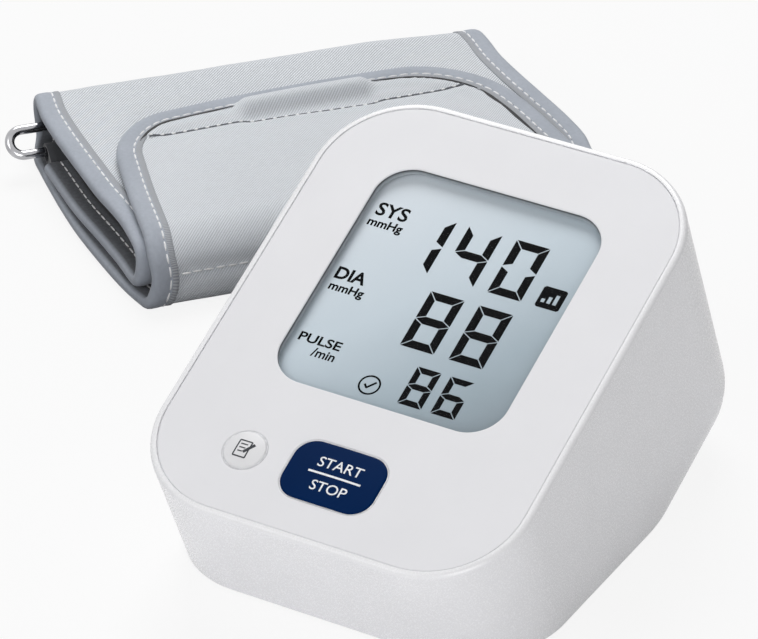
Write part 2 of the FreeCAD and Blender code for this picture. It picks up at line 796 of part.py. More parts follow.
def lean(shape, p, z):
    """Tips a shape built flat onto the slope of the upper layers."""
    out = shape.copy()
    out.Placement = FreeCAD.Placement(V(0, p, z), SPREAD).multiply(out.Placement)
    return out


def band(points, radii, half):
    """A strip of even thickness along a path of lines and left-hand bends."""
    sides = ([], [])
    ways = []
    for k in range(len(points) - 1):
        ways.append((points[k + 1] - points[k]).normalize())
    normals = [V(0, -w.z, w.y) for w in ways]
    for side, sign in ((sides[0], 1), (sides[1], -1)):
        last = points[0] + normals[0] * (sign * half)
        for k, r in enumerate(radii):
            d1 = ways[k]
            d2 = ways[k + 1]
            angle = math.acos(max(-1, min(1, d1.dot(d2))))
            tangent = r * math.tan(angle / 2)
            centre = points[k + 1] - d1 * tangent + normals[k] * r
            reach = r - sign * half
            start = centre - normals[k] * reach
            stop = centre - normals[k + 1] * reach
            middle = centre - (normals[k] + normals[k + 1]).normalize() * reach
            side.append(Part.LineSegment(last, start).toShape())
            side.append(Part.Arc(start, middle, stop).toShape())
            last = stop
        end = points[-1] + normals[-1] * (sign * half)
        side.append(Part.LineSegment(last, end).toShape())
    first = Part.LineSegment(points[0] + normals[0] * half, points[0] - normals[0] * half).toShape()
    final = Part.LineSegment(points[-1] + normals[-1] * half, points[-1] - normals[-1] * half).toShape()
    wire = Part.Wire(Part.__sortEdges__(sides[0] + sides[1] + [first, final]))
    strip = Part.Face(wire).extrude(V(2 * far, 0, 0))
    strip.translate(V(-far, 0, 0))
    return strip


def trim(shape, left, left_share, right, right_share):
    """Cuts a long strip to the cuff's width along its two askew edges."""
    p0 = -overrun
    p1 = cuff_deep + overrun
    low = -overrun
    corners = [V(left + left_share * p0, p0, low), V(right + right_share * p0, p0, low)]
    corners += [V(right + right_share * p1, p1, low), V(left + left_share * p1, p1, low)]
    keep = Part.Face(Part.makePolygon(corners + [corners[0]])).extrude(V(0, 0, far))
    return shape.common(keep)


def flap_strip(half):
    """The flap's top, from its end part to halfway down the front fold."""
    start = V(0, join_p, top_height(join_p) + flap_step)
    corner = V(0, front_p, top_height(front_p) + flap_step)
    return band([start, corner, split_point()], [front_upper_r], half)


def split_point():
    """Halfway between the two bends of the front fold."""
    high = top_height(front_p) + flap_step - front_upper_r
    return V(0, front_p, (high + outer_z + front_lower_r) / 2)


def body_strip(half):
    """From the front fold along the table, round the back and in again."""
    path = [split_point(), V(0, front_p, outer_z), V(0, back_p, outer_z), V(0, back_p, top_back_height)]
    path += [V(0, inner_p, top_front_height), V(0, inner_p, inner_z), V(0, inner_end, inner_z)]
    radii = [front_lower_r, back_lower_r, back_upper_r, inner_upper_r, inner_lower_r]
    return band(path, radii, half)


def flap_part(inset, half):
    """End of the flap with its bowed edge and two corners of their own."""
    left_s = flap_join - flap_left_drop - inset
    right_s = flap_join - flap_right_drop - inset
    left = flap_left_share * join_p + inset
    right = cuff_width + flap_right_share * join_p - inset
    left_end = left + flap_left_share * left_s
    right_end = right + flap_right_share * right_s
    middle = V((left_end + right_end) / 2, flap_join - inset, -half)
    corners = [V(left, 0, -half), V(right, 0, -half), V(right_end, right_s, -half), V(left_end, left_s, -half)]
    edges = [
        Part.LineSegment(corners[0], corners[1]).toShape(),
        Part.LineSegment(corners[1], corners[2]).toShape(),
        Part.Arc(corners[2], middle, corners[3]).toShape(),
        Part.LineSegment(corners[3], corners[0]).toShape(),
    ]
    form = Part.Face(Part.Wire(edges)).extrude(V(0, 0, 2 * half))
    for corner, r in ((corners[3], flap_left_r), (corners[2], flap_right_r)):
        form = form.makeFillet(r - inset, upright_edges(form, corner))
    return lean(form, join_p, top_height(join_p) + flap_step)


def upright_edges(form, corner):
    """Edges of a plate that stand over one of its corners."""
    found = []
    for edge in form.Edges:
        bounds = edge.BoundBox
        reach = math.hypot(bounds.XMin - corner.x, bounds.YMin - corner.y)
        if bounds.XLength < tolerance and bounds.YLength < tolerance and reach < tolerance:
            found.append(edge)
    return found


def make_cuff():
    """Cloth sleeve, bladder, edge binding, air port and steel ring."""
    skin = binding_thick + binding_gap
    sleeve_end = cuff_width - skin
    sleeve = trim(body_strip(cloth_half), skin, body_skew_share, sleeve_end, body_skew_share)
    flap = trim(flap_strip(cloth_half), skin, flap_left_share, sleeve_end, flap_right_share)
    sleeve = sleeve.fuse([flap, flap_part(skin, cloth_half)])
    # The air pocket is in the inner layer.
    pocket_half = bladder_thick / 2 + bladder_gap
    pocket_p0 = inner_p + inner_lower_r + bladder_margin
    pocket_p1 = inner_end - bladder_margin
    pocket = box(bladder_start, 2 * cuff_width, pocket_p0, pocket_p1,
                 inner_z - pocket_half, inner_z + pocket_half)
    save("cuff_sleeve", lay(tidy(sleeve.cut(pocket))))
    bladder_a1 = cuff_width + body_skew_share * cuff_deep - bladder_end
    bladder_half = bladder_thick / 2
    bladder = box(bladder_start + bladder_gap, bladder_a1, pocket_p0 + bladder_gap, pocket_p1 - bladder_gap,
                  inner_z - bladder_half, inner_z + bladder_half)
    save("cuff_bladder", lay(bladder))
    slot_half = port_width / 2 + bladder_gap
    slot_z = port_thick / 2 + bladder_gap
    slot = box(bladder_a1, 2 * cuff_width, port_p - slot_half, port_p + slot_half,
               inner_z - slot_z, inner_z + slot_z)
    strips = []
    for shape, left_share, right_share in ((body_strip, body_skew_share, body_skew_share),
                                           (flap_strip, flap_left_share, flap_right_share)):
        skinned = shape(band_half)
        core = shape(core_half)
        left = trim(skinned, 0, left_share, binding_width, left_share)
        left = left.cut(trim(core, binding_thick, left_share, binding_width + overrun, left_share))
        right_in = cuff_width - binding_width
        right = trim(skinned, right_in, right_share, cuff_width, right_share)
        right = right.cut(trim(core, right_in - overrun, right_share, cuff_width - binding_thick, right_share))
        strips.append((left, right))
    save("cuff_binding_left", lay(tidy(strips[0][0].fuse(strips[1][0]))))
    right = strips[0][1].fuse(strips[1][1]).cut(slot)
    save("cuff_binding_right", lay(tidy(right)))
    inside = [flap_part(binding_thick, core_half), flap_part(binding_width, cuff_deep)]
    end = flap_part(0, band_half).cut(inside)
    save("cuff_binding_end", lay(tidy(end.cut(flap_opening()))))
    port_a = cuff_width + body_skew_share * port_p + overrun
    tongue_z = port_thick / 2
    tongue_half = port_width / 2
    port = box(bladder_a1, port_a, port_p - tongue_half, port_p + tongue_half,
               inner_z - tongue_z, inner_z + tongue_z)
    port = port.fuse(rod(port_r, V(port_a, port_p, inner_z), X_AXIS, port_length))
    port = port.cut(rod(port_bore_r, V(port_a + overrun, port_p, inner_z), X_AXIS, port_length))
    save("cuff_air_port", lay(tidy(port)))
    make_ring()


def flap_opening():
    """Room for the cloth where it runs into the flap's end binding."""
    left = flap_left_share * join_p + binding_thick
    right = cuff_width + flap_right_share * join_p - binding_thick
    room = box(left, right, -overrun, binding_thick, -core_half, core_half)
    return lean(room, join_p, top_height(join_p) + flap_step)


def make_ring():
    """Oblong steel ring on a cloth loop at the cuff's inner end."""
    loop_in = ring_wire_r + ring_gap
    loop_out = loop_in + loop_thick
    ring_z = 2 * band_half + ring_lift + loop_out
    shift = body_skew_share * ring_bar_p
    bend = ring_deep / 2
    end_a0 = shift - ring_left_out + ring_wire_r + bend
    end_a1 = cuff_width + shift - ring_right_in - ring_wire_r - bend
    corners = [V(end_a0, 0, 0), V(end_a1, 0, 0), V(end_a1, ring_deep, 0), V(end_a0, ring_deep, 0)]
    tips = [V(end_a1 + bend, bend, 0), V(end_a0 - bend, bend, 0)]
    pieces = []
    for start, stop in ((corners[0], corners[1]), (corners[3], corners[2])):
        pieces.append(rod(ring_wire_r, start, X_AXIS, stop.x - start.x))
    for start, tip, stop in ((corners[1], tips[0], corners[2]), (corners[0], tips[1], corners[3])):
        path = Part.Wire([Part.Arc(start, tip, stop).toShape()])
        wire = Part.Wire([Part.Circle(start, X_AXIS, ring_wire_r).toShape()])
        pieces.append(path.makePipeShell([wire], True, False))
    ring = tidy(pieces[0].fuse(pieces[1:]))
    ring.Placement = FreeCAD.Placement(V(0, ring_bar_p, ring_z), FreeCAD.Rotation(V(1, 0, 0), ring_lean))
    save("cuff_ring", lay(ring))
    loop_a0 = shift + loop_left_in
    loop_a1 = cuff_width + shift - loop_right_in
    loop_length = loop_a1 - loop_a0
    bar = V(loop_a0, ring_bar_p, ring_z)
    loop = rod(loop_out, bar, X_AXIS, loop_length)
    loop = loop.fuse(box(loop_a0, loop_a1, inner_end, ring_bar_p, ring_z - loop_out, ring_z - loop_in))
    loop = loop.cut(rod(loop_in, bar - X_AXIS * overrun, X_AXIS, loop_length + 2 * overrun))
    save("cuff_ring_loop", lay(tidy(loop)))


os.makedirs("parts", exist_ok=True)
save("rear_case", make_rear_case())
save("front_cover", make_front_cover())
make_display()
make_buttons()
make_board()
make_screws()
make_feet()
make_battery()
make_air()
make_inlet()
make_cuff()
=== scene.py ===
import bisect
from math import acos, atan2, cos, exp, pi, radians, sin, sqrt, tan

import bpy
from mathutils import Matrix, Vector, kdtree, noise


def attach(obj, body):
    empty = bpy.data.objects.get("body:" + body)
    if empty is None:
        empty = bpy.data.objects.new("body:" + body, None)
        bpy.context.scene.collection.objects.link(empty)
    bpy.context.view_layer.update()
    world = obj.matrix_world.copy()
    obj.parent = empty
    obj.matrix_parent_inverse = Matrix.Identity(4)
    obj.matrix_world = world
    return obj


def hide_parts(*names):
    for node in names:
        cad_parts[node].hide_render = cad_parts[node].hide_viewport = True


# Looks of a home blood pressure monitor and its folded arm cuff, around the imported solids.
# Blender's units are metres. The sizes below are in millimetres, as in the solids' source.
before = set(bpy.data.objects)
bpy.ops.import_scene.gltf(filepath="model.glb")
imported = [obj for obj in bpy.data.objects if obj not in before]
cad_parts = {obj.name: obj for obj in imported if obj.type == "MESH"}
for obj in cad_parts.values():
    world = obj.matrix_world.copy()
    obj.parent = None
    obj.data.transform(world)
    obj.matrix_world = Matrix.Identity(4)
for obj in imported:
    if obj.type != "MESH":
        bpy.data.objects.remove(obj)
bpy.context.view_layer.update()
MM = 0.001
WHITE = (1.0, 1.0, 1.0, 1.0)

# Camera, fitted to the photograph's frame.
FRAME_WIDTH = 758
FOCAL_PIXELS = 5086
SENSOR_WIDTH = 36.0
CAMERA_PLACE = Vector((504.85, -923.95, 698.2)) * MM
CAMERA_FORWARD = Vector((-0.4185, 0.7452, -0.5191))
CAMERA_ROLL = 0.0076
CAMERA_REACH = 30.0

# Studio, in metres and watts: each lamp's name, place, size and power.
LAMPS = (
    ("key_lamp", (0.75, -1.15, 0.36), 0.8, 8.4),
    ("top_lamp", (-0.48, 0.74, 1.18), 0.75, 15.2),
    ("fill_lamp", (-0.5, -0.95, 0.95), 0.8, 5.0),
)
LAMP_TARGET = Vector((0.0, 0.03, 0.05))
WORLD_LIGHT = 0.12
FLOOR_HALF = 6.0
FLOOR_GLOW = 0.88

# The slanted face: u to the right, v up the face, w out of it.
FACE_TILT = radians(24.2)
FACE_UP = Vector((0.0, cos(FACE_TILT), sin(FACE_TILT)))
FACE_OUT = Vector((0.0, -sin(FACE_TILT), cos(FACE_TILT)))
FACE_FRONT_Y = -64.468
FACE_FRONT_Z = 31.5
LCD_TOP = -2.75
LCD_HALF = 31.0
LCD_LOW = 42.0
LCD_HIGH = 110.0
WINDOW_MIDDLE = 75.9
WINDOW_HALF = 32.0
WINDOW_HALF_HIGH = 35.0
INK_THICK = 0.02
PRINT_THICK = 0.05

# Push buttons: height and crown, middle, half width, half height and corner of each cap.
BUTTON_PROUD = 0.5
BUTTON_CROWN = 0.45
START_PLACE = (0.0, 19.7)
START_HALF = 12.5
START_HALF_HIGH = 8.45
START_R = 5.5
MEMORY_PLACE = (-24.4, 19.5)
MEMORY_HALF = 5.35

# Cuff, in its own frame: a along the folds, p back from the front fold, z up.
CUFF_PLACE = (-111.9, 49.3)
CUFF_TURN = radians(49.0)
CUFF_WIDTH = 135.0
CUFF_DEEP = 100.0
CLOTH_HALF = 1.3
BAND_HALF = 1.7
LAYER_PITCH = 3.6
INNER_Z = BAND_HALF + LAYER_PITCH
TOP_BACK_Z = 17.3
TOP_FRONT_Z = 14.5
INNER_FOLD = 6.0
INNER_END = 75.0
FLAP_END = 71.8
FLAP_LEFT_DROP = 5.3
FLAP_RIGHT_DROP = 1.3
FLAP_LEFT_R = 16.0
FLAP_RIGHT_R = 20.0
FLAP_JOIN = 46.0
BOW_PARTS = 70
BODY_SKEW = -0.063
FLAP_LEFT_SKEW = 0.14
FLAP_RIGHT_SKEW = -0.265
LEAN_TURN = (-8.0, 14.0)
FOLD_RADII = (13.0, 2.6, 6.0, 7.0, 5.5, 3.2)
TABLE_GAP = 0.05
THREAD_GAP = 0.01


def srgb(r, g, b):
    """Linear colour from the usual 0 to 255 values."""
    def linear(c):
        c /= 255
        if c <= 0.04045:
            return c / 12.92
        return ((c + 0.055) / 1.055) ** 2.4
    return (linear(r), linear(g), linear(b), 1.0)


def shade(colour, factor):
    return tuple(min(1.0, c * factor) for c in colour[:3]) + (1.0,)


def step(low, high, x):
    """Smooth step from 0 at low to 1 at high."""
    t = max(0.0, min(1.0, (x - low) / (high - low)))
    return t * t * (3 - 2 * t)


def hump(x, rise, fall):
    """Smooth rise to 1 and fall back to 0, each between two places."""
    return step(*rise, x) * (1 - step(*fall, x))


def bell(x, wide):
    return exp(-(x / wide) ** 2)


def spaced(low, high, parts):
    """Evenly spaced values from low to high."""
    return [low + (high - low) * k / parts for k in range(parts + 1)]


def circle(count):
    """Cosine and sine of evenly spaced angles."""
    angles = [2 * pi * k / count for k in range(count)]
    return [(cos(angle), sin(angle)) for angle in angles]


def face_place(u, v, w):
    """World place, in metres, of a point in the face's frame."""
    s = sin(FACE_TILT)
    c = cos(FACE_TILT)
    return Vector((u, FACE_FRONT_Y + v * c - w * s, FACE_FRONT_Z + v * s + w * c)) * MM


def cuff_place(a, p, z):
    """World place, in metres, of a point in the cuff's frame."""
    s = sin(CUFF_TURN)
    c = cos(CUFF_TURN)
    return Vector((CUFF_PLACE[0] + a * c - p * s, CUFF_PLACE[1] + a * s + p * c, z)) * MM


# Materials.

class Graph:
    """Builds the nodes of one material, or of the world."""

    WAVE_PERIOD = 0.314

    def __init__(self, name, world=False):
        self.owner = (bpy.data.worlds if world else bpy.data.materials).new(name)
        self.owner.use_nodes = True
        self.tree = self.owner.node_tree
        self.tree.nodes.clear()
        self.out = self.node("OutputWorld" if world else "OutputMaterial")
        self.places = None if world else self.node("TexCoord").outputs

    def feed(self, socket, value):
        """Links a socket to an output, or to a node's first one, or gives it a plain value."""
        if isinstance(value, bpy.types.Node):
            value = value.outputs[0]
        if isinstance(value, bpy.types.NodeSocket):
            self.tree.links.new(value, socket)
        else:
            socket.default_value = value

    def node(self, kind, settings=None, *values, **inputs):
        """A node with settings, its first inputs in order, and others by name."""
        made = self.tree.nodes.new("ShaderNode" + kind)
        for key, value in (settings or {}).items():
            setattr(made, key, value)
        for socket, value in zip(made.inputs, values):
            self.feed(socket, value)
        for key, value in inputs.items():
            self.feed(made.inputs[key.replace("_", " ")], value)
        return made

    def noise(self, scale, detail=2.0, where="Object", stretch=None):
        vector = self.places[where]
        if stretch:
            vector = self.node("Mapping", Vector=vector, Scale=stretch)
        return self.node("TexNoise", Vector=vector, Scale=scale, Detail=detail).outputs["Fac"]

    def waves(self, vector, axis, pitch, distortion):
        """Bands at a pitch in millimetres."""
        settings = {"wave_type": "BANDS", "bands_direction": axis}
        made = self.node("TexWave", settings, Vector=vector, Scale=self.WAVE_PERIOD / (pitch * MM),
                         Distortion=distortion, Detail=1.0)
        return made.outputs["Fac"]

    def span(self, fac, low, high, start=0.0, stop=1.0):
        return self.node("MapRange", None, fac, start, stop, low, high).outputs[0]

    def ramp(self, fac, *stops):
        made = self.node("ValToRGB", Fac=fac)
        elements = made.color_ramp.elements
        while len(elements) < len(stops):
            elements.new(0.5)
        for element, (position, colour) in zip(elements, stops):
            element.position = position
            element.color = colour
        return made.outputs[0]

    def tones(self, fac, colour, dark, pale, low=0.3, high=0.7):
        """A colour between a darker and a paler tone of itself."""
        return self.ramp(fac, (low, shade(colour, dark)), (high, shade(colour, pale)))

    def math(self, operation, first, second=0.0):
        return self.node("Math", {"operation": operation}, first, second).outputs[0]

    def dot(self, direction):
        made = self.node("VectorMath", {"operation": "DOT_PRODUCT"}, self.places["Object"], tuple(direction))
        return made.outputs["Value"]

    def mix(self, fac, first, second, blend="MIX"):
        made = self.node("Mix", {"data_type": "RGBA", "blend_type": blend})
        for number, value in ((0, fac), (6, first), (7, second)):
            self.feed(made.inputs[number], value)
        return made.outputs[2]

    def bump(self, height, depth, strength=1.0):
        return self.node("Bump", Height=height, Distance=depth * MM, Strength=strength)

    def backdrop_rays(self):
        """1 for rays from the camera, a mirror or glass, which see the backdrop itself."""
        rays = self.node("LightPath").outputs
        direct = self.math("MAXIMUM", rays["Is Camera Ray"], rays["Is Glossy Ray"])
        return self.math("MAXIMUM", direct, rays["Is Transmission Ray"])

    def done(self, shader):
        self.feed(self.out.inputs["Surface"], shader)
        return self.owner

    def mixed(self, fac, first, second):
        """Ends the nodes with two shaders."""
        return self.done(self.node("MixShader", None, fac, first, second))

    def surface(self, tint, rough, relief=None, **inputs):
        """Ends the nodes with a principled shader."""
        made = self.node("BsdfPrincipled", Base_Color=tint, Roughness=rough, **inputs)
        if relief:
            self.feed(made.inputs["Normal"], relief)
        return self.done(made)


def plastic(name, colour, roughness, grain=0.3, depth=0.01, vary=0.03, gloss=0.5, painted_shade_layer=None):
    """Moulded plastic with a fine spark-eroded grain and slight cloudiness, and perhaps painted shade laid
    over its colour.
    """
    g = Graph(name)
    speck = g.noise(1 / (grain * MM))
    tint = g.tones(g.noise(60.0, 3.0), colour, 1 - vary, 1 + vary)
    if painted_shade_layer:
        tint = painted_shade_layer(g, tint)
    rough = g.span(speck, roughness - 0.05, roughness + 0.05, 0.3, 0.7)
    return g.surface(tint, rough, g.bump(speck, depth), Specular_IOR_Level=gloss)


def window_painted_shade(g, tint):
    """Painted shade: a dark line and soft shade painted on the wall of the display's window, by its depth
    below the face.
    """
    start = face_place(0.0, 0.0, 0.0)
    depth = g.math("SUBTRACT", start.dot(FACE_OUT), g.dot(FACE_OUT))
    along = g.math("SUBTRACT", g.dot(FACE_UP), start.dot(FACE_UP) + WINDOW_MIDDLE * MM)
    wall = g.span(depth, 0.0, 1.0, 0.36 * MM, 0.46 * MM)
    for place, half in ((g.dot((1.0, 0.0, 0.0)), WINDOW_HALF), (along, WINDOW_HALF_HIGH)):
        near = g.math("LESS_THAN", g.math("ABSOLUTE", place), half * MM)
        wall = g.math("MULTIPLY", wall, near)
    # Painted shadow: darkest just below the face, paler further down the wall.
    shadow = g.ramp(g.span(depth, 0.0, 1.0, 0.0, 2.0 * MM), (0.2, srgb(50, 53, 56)), (0.4, srgb(58, 61, 64)),
                    (0.56, srgb(128, 133, 137)), (1.0, srgb(172, 179, 184)))
    return g.mix(wall, tint, shadow)


def rubber(name, colour):
    """Matte rubber or silicone with a dusty grain."""
    g = Graph(name)
    tint = g.tones(g.noise(900.0, 4.0), colour, 0.88, 1.15, 0.35)
    return g.surface(tint, 0.72, g.bump(g.noise(2500.0), 0.02), Sheen_Weight=0.1)


def metal(name, colour, roughness, along, brushed=0.5):
    """Metal drawn or brushed along one axis."""
    g = Graph(name)
    streak = g.noise(1.0, 3.0, stretch=tuple(200.0 if k == along else 9000.0 for k in range(3)))
    tint = g.tones(streak, colour, 1 - 0.2 * brushed, 1.0)
    rough = g.span(streak, roughness * (1 - 0.4 * brushed), roughness * (1 + 0.4 * brushed), 0.3, 0.7)
    return g.surface(tint, rough, g.bump(streak, 0.004, brushed), Metallic=1.0)


def chrome():
    """Polished plated wire with faint handling marks."""
    g = Graph("ring_chrome")
    haze = g.noise(250.0, 4.0)
    tint = g.ramp(haze, (0.3, srgb(158, 158, 161)), (0.7, srgb(186, 186, 189)))
    rough = g.span(haze, 0.05, 0.16, 0.35, 0.7)
    return g.surface(tint, rough, g.bump(g.noise(700.0), 0.01, 0.5), Metallic=1.0)


def lcd_panel():
    """Reflective display with painted shade over its pale grey-blue: lightest at its upper left, darker
    towards its lower right.
    """
    g = Graph("lcd_panel")
    run = Vector((0.5 / (2 * LCD_HALF), 0.0, 0.0)) - FACE_UP * (0.5 / (LCD_HIGH - LCD_LOW))
    run /= MM
    start = face_place(-LCD_HALF, LCD_HIGH, LCD_TOP).dot(run)
    stop = face_place(LCD_HALF, LCD_LOW, LCD_TOP).dot(run)
    total = g.math("ADD", g.dot(run), g.span(g.noise(90.0), -0.03, 0.03))
    share = g.span(total, 0.0, 1.0, start, stop)
    # Painted shade: the display darkens from its upper left to its lower right.
    tint = g.ramp(share, (0.0, srgb(216, 224, 231)), (0.45, srgb(194, 207, 216)),
                  (0.75, srgb(155, 171, 181)), (1.0, srgb(117, 131, 140)))
    return g.surface(tint, g.span(g.noise(6000.0), 0.42, 0.55))


def clear_window():
    """Clear lens: lets the display through and mirrors at a slant, on its outer side only."""
    g = Graph("clear_window")
    scuff = g.span(g.noise(300.0, 3.0), 0.03, 0.09, 0.4, 0.8)
    gloss = g.node("BsdfGlossy", Color=(0.5, 0.5, 0.5, 1.0), Roughness=scuff)
    through = g.node("BsdfTransparent", Color=WHITE)
    outside = g.math("SUBTRACT", 1.0, g.node("NewGeometry").outputs["Backfacing"])
    edge = g.node("Fresnel", IOR=1.1)
    return g.mixed(g.math("MULTIPLY", edge, outside), through, gloss)


def ink(name, colour, roughness):
    """Printed or liquid crystal ink, slightly uneven."""
    g = Graph(name)
    patch = g.noise(1500.0, 3.0)
    rough = g.span(patch, roughness - 0.06, roughness + 0.06)
    return g.surface(g.tones(patch, colour, 0.9, 1.1), rough, Specular_IOR_Level=0.03)


def circuit_board():
    """Green solder mask over copper tracks."""
    g = Graph("circuit_board")
    settings = {"feature": "DISTANCE_TO_EDGE"}
    cells = g.node("TexVoronoi", settings, Vector=g.places["Object"], Scale=260.0)
    track = g.span(cells.outputs["Distance"], 1.0, 0.0, 0.04, 0.09)
    tint = g.ramp(track, (0.0, srgb(24, 92, 56)), (1.0, srgb(62, 138, 84)))
    return g.surface(tint, 0.35, g.bump(track, 0.04), Coat_Weight=0.4)


def cell_wrap(name, way):
    """Plain printed sleeve of a cell: a band of colour at its raised end."""
    g = Graph(name)
    along = g.dot((0.0, way / MM, 0.0))
    sleeve = g.ramp(g.span(along, 0.0, 1.0, 11.0, 11.3), (0.4, srgb(46, 50, 56)), (0.6, srgb(196, 134, 62)))
    tint = g.mix(g.span(along, 0.0, 1.0, 24.6, 24.9), sleeve, srgb(196, 198, 202))
    return g.surface(tint, g.span(g.noise(400.0, 3.0), 0.26, 0.4), Metallic=0.4)


CLOTH_SHEEN = {"Sheen_Weight": 0.2, "Sheen_Roughness": 0.5}


def twill(name, colour, pitch=0.5, contrast=0.12, depth=0.05):
    """Woven cloth with fine diagonal ribs, laid out on the flat cut."""
    g = Graph(name)
    flat = g.places["UV"]
    turn = g.node("Mapping", Vector=flat, Rotation=(0.0, 0.0, radians(-45)))
    cross = g.span(g.waves(flat, "Y", 0.62 * pitch, 0.4), 0.7, 1.0)
    yarn = g.math("MULTIPLY", g.waves(turn, "X", pitch, 0.6), cross)
    slub = g.noise(500.0, 4.0, "UV")
    worn = g.math("ADD", g.math("MULTIPLY", yarn, 0.8), g.math("MULTIPLY", slub, 0.2))
    tint = g.tones(worn, colour, 1 - contrast, 1 + 0.55 * contrast, 0.15, 0.75)
    cloud = g.ramp(g.noise(35.0, 3.0, "UV"), (0.3, (0.97, 0.97, 0.975, 1.0)), (0.7, WHITE))
    return g.surface(g.mix(1.0, tint, cloud, "MULTIPLY"), 0.85, g.bump(yarn, depth), **CLOTH_SHEEN)


def edge_tape():
    """Smooth folded tape with a coarser selvage strip inside its seam, laid out along the edge."""
    g = Graph("edge_tape")
    flat = g.places["UV"]
    across = g.node("SeparateXYZ", Vector=flat).outputs["Y"]
    strip = g.span(g.math("ABSOLUTE", across), 0.0, 1.0, 5.3 * MM, 5.5 * MM)
    under = g.span(across, 1.0, 0.0, -1.6 * MM, -0.4 * MM)
    weft = g.waves(flat, "X", 0.5, 0.5)
    fuzz = g.noise(900.0, 4.0, "UV")
    cloud = g.math("MULTIPLY", g.noise(60.0, 3.0, "UV"), 0.5)
    smooth = g.ramp(g.math("ADD", g.math("MULTIPLY", fuzz, 0.5), cloud),
                    (0.3, srgb(158, 164, 174)), (0.7, srgb(174, 180, 190)))
    coarse = g.ramp(weft, (0.2, srgb(142, 145, 151)), (0.8, srgb(176, 179, 184)))
    # Under side of the tape: dark lining cloth, its darkness partly the lining's own and partly painted
    # shade for the inside of the folds.
    dark_lining_and_shade = g.ramp(fuzz, (0.3, srgb(78, 81, 86)), (0.7, srgb(96, 99, 105)))
    relief = g.bump(g.math("ADD", fuzz, g.math("MULTIPLY", weft, strip)), 0.04)
    return g.surface(g.mix(under, g.mix(strip, smooth, coarse), dark_lining_and_shade), 0.8, relief, **CLOTH_SHEEN)


def thread():
    """Twisted white sewing thread."""
    g = Graph("thread")
    twist = g.noise(3000.0)
    tint = g.ramp(twist, (0.3, srgb(240, 240, 241)), (0.7, srgb(254, 254, 254)))
    return g.surface(tint, 0.7, g.bump(twist, 0.05), Sheen_Weight=0.2)


def pale_floor():
    """Plain white sheet that keeps a soft shadow; for bounced light it is painted dark behind and left of
    the monitor, where the cuff lies, as painted shade on the cuff.
    """
    g = Graph("pale_floor")
    seen = g.backdrop_rays()
    tint = g.ramp(g.noise(3.0), (0.3, srgb(218, 218, 219)), (0.7, srgb(222, 222, 222)))
    # Painted shade: the floor's colour for bounced light, dark behind and left of the monitor and pale in
    # front and to the right.
    front = g.span(g.dot((0.0, -1.0, 0.0)), 0.0, 1.0, -0.01, 0.05)
    right = g.span(g.dot((1.0, 0.0, 0.0)), 0.0, 1.0, -0.01, 0.05)
    bounce_painted_shade = g.ramp(g.math("MAXIMUM", front, right), (0.0, srgb(70, 70, 72)), (1.0, srgb(236, 236, 238)))
    plain = g.node("BsdfDiffuse", Color=g.mix(seen, bounce_painted_shade, tint))
    glow = g.node("Emission", Color=WHITE, Strength=1.0)
    return g.mixed(g.math("MULTIPLY", seen, FLOOR_GLOW), plain, glow)


# Meshes.

def add_object(name, data):
    made = bpy.data.objects.new(name, data)
    bpy.context.scene.collection.objects.link(made)
    return made


def add_mesh(name, vertices, faces, materials, body, smooth=True, flat=None):
    """Makes a mesh piece that rides on a body. For a weave, flat has the points' places on the flat cut."""
    mesh = bpy.data.meshes.new(name)
    mesh.from_pydata(vertices, [], faces)
    mesh.validate()
    mesh.update()
    for material in materials:
        mesh.materials.append(material)
    if smooth:
        mesh.shade_smooth()
    if flat:
        layer = mesh.uv_layers.new(name="flat_cut")
        for loop in mesh.loops:
            layer.data[loop.index].uv = flat[loop.vertex_index] * MM
    piece = add_object(name, mesh)
    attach(piece, body)
    return piece


def tube_faces(rings, around, first=0, closed=False):
    """Faces of a tube through rings of points, closed into a loop or capped at its two ends."""
    faces = []
    for k in range(rings if closed else rings - 1):
        low = first + k * around
        high = first + (k + 1) % rings * around
        for j in range(around):
            nxt = (j + 1) % around
            faces.append((low + j, low + nxt, high + nxt, high + j))
    if not closed:
        last = first + (rings - 1) * around
        faces.append(tuple(first + j for j in reversed(range(around))))
        faces.append(tuple(last + j for j in range(around)))
    return faces


def skin_faces(rows, wide):
    """Faces of two skins of points, one over the other, with a closed rim."""
    count = rows * wide
    faces = []
    for i in range(rows - 1):
        for j in range(wide - 1):
            k = i * wide + j
            quad = (k, k + 1, k + wide + 1, k + wide)
            faces.append(quad)
            faces.append(tuple(count + q for q in reversed(quad)))
    rim = list(range(wide)) + [i * wide + wide - 1 for i in range(1, rows)]
    rim += [(rows - 1) * wide + j for j in range(wide - 2, -1, -1)]
    rim += [i * wide for i in range(rows - 2, 0, -1)]
    return faces + [(a, count + a, count + b, b) for a, b in zip(rim, rim[1:] + rim[:1])]


def inset(outline, amount):
    """A convex outline, moved in from all its sides."""
    lines = []
    for start, stop in zip(outline, outline[1:] + outline[:1]):
        way = (Vector(stop) - Vector(start)).normalized()
        lines.append((Vector(start) + way.orthogonal() * amount, way))
    moved = []
    for k, (q, e) in enumerate(lines):
        p, d = lines[k - 1]
        moved.append(tuple(p + d * ((q - p).cross(e) / d.cross(e))))
    return moved


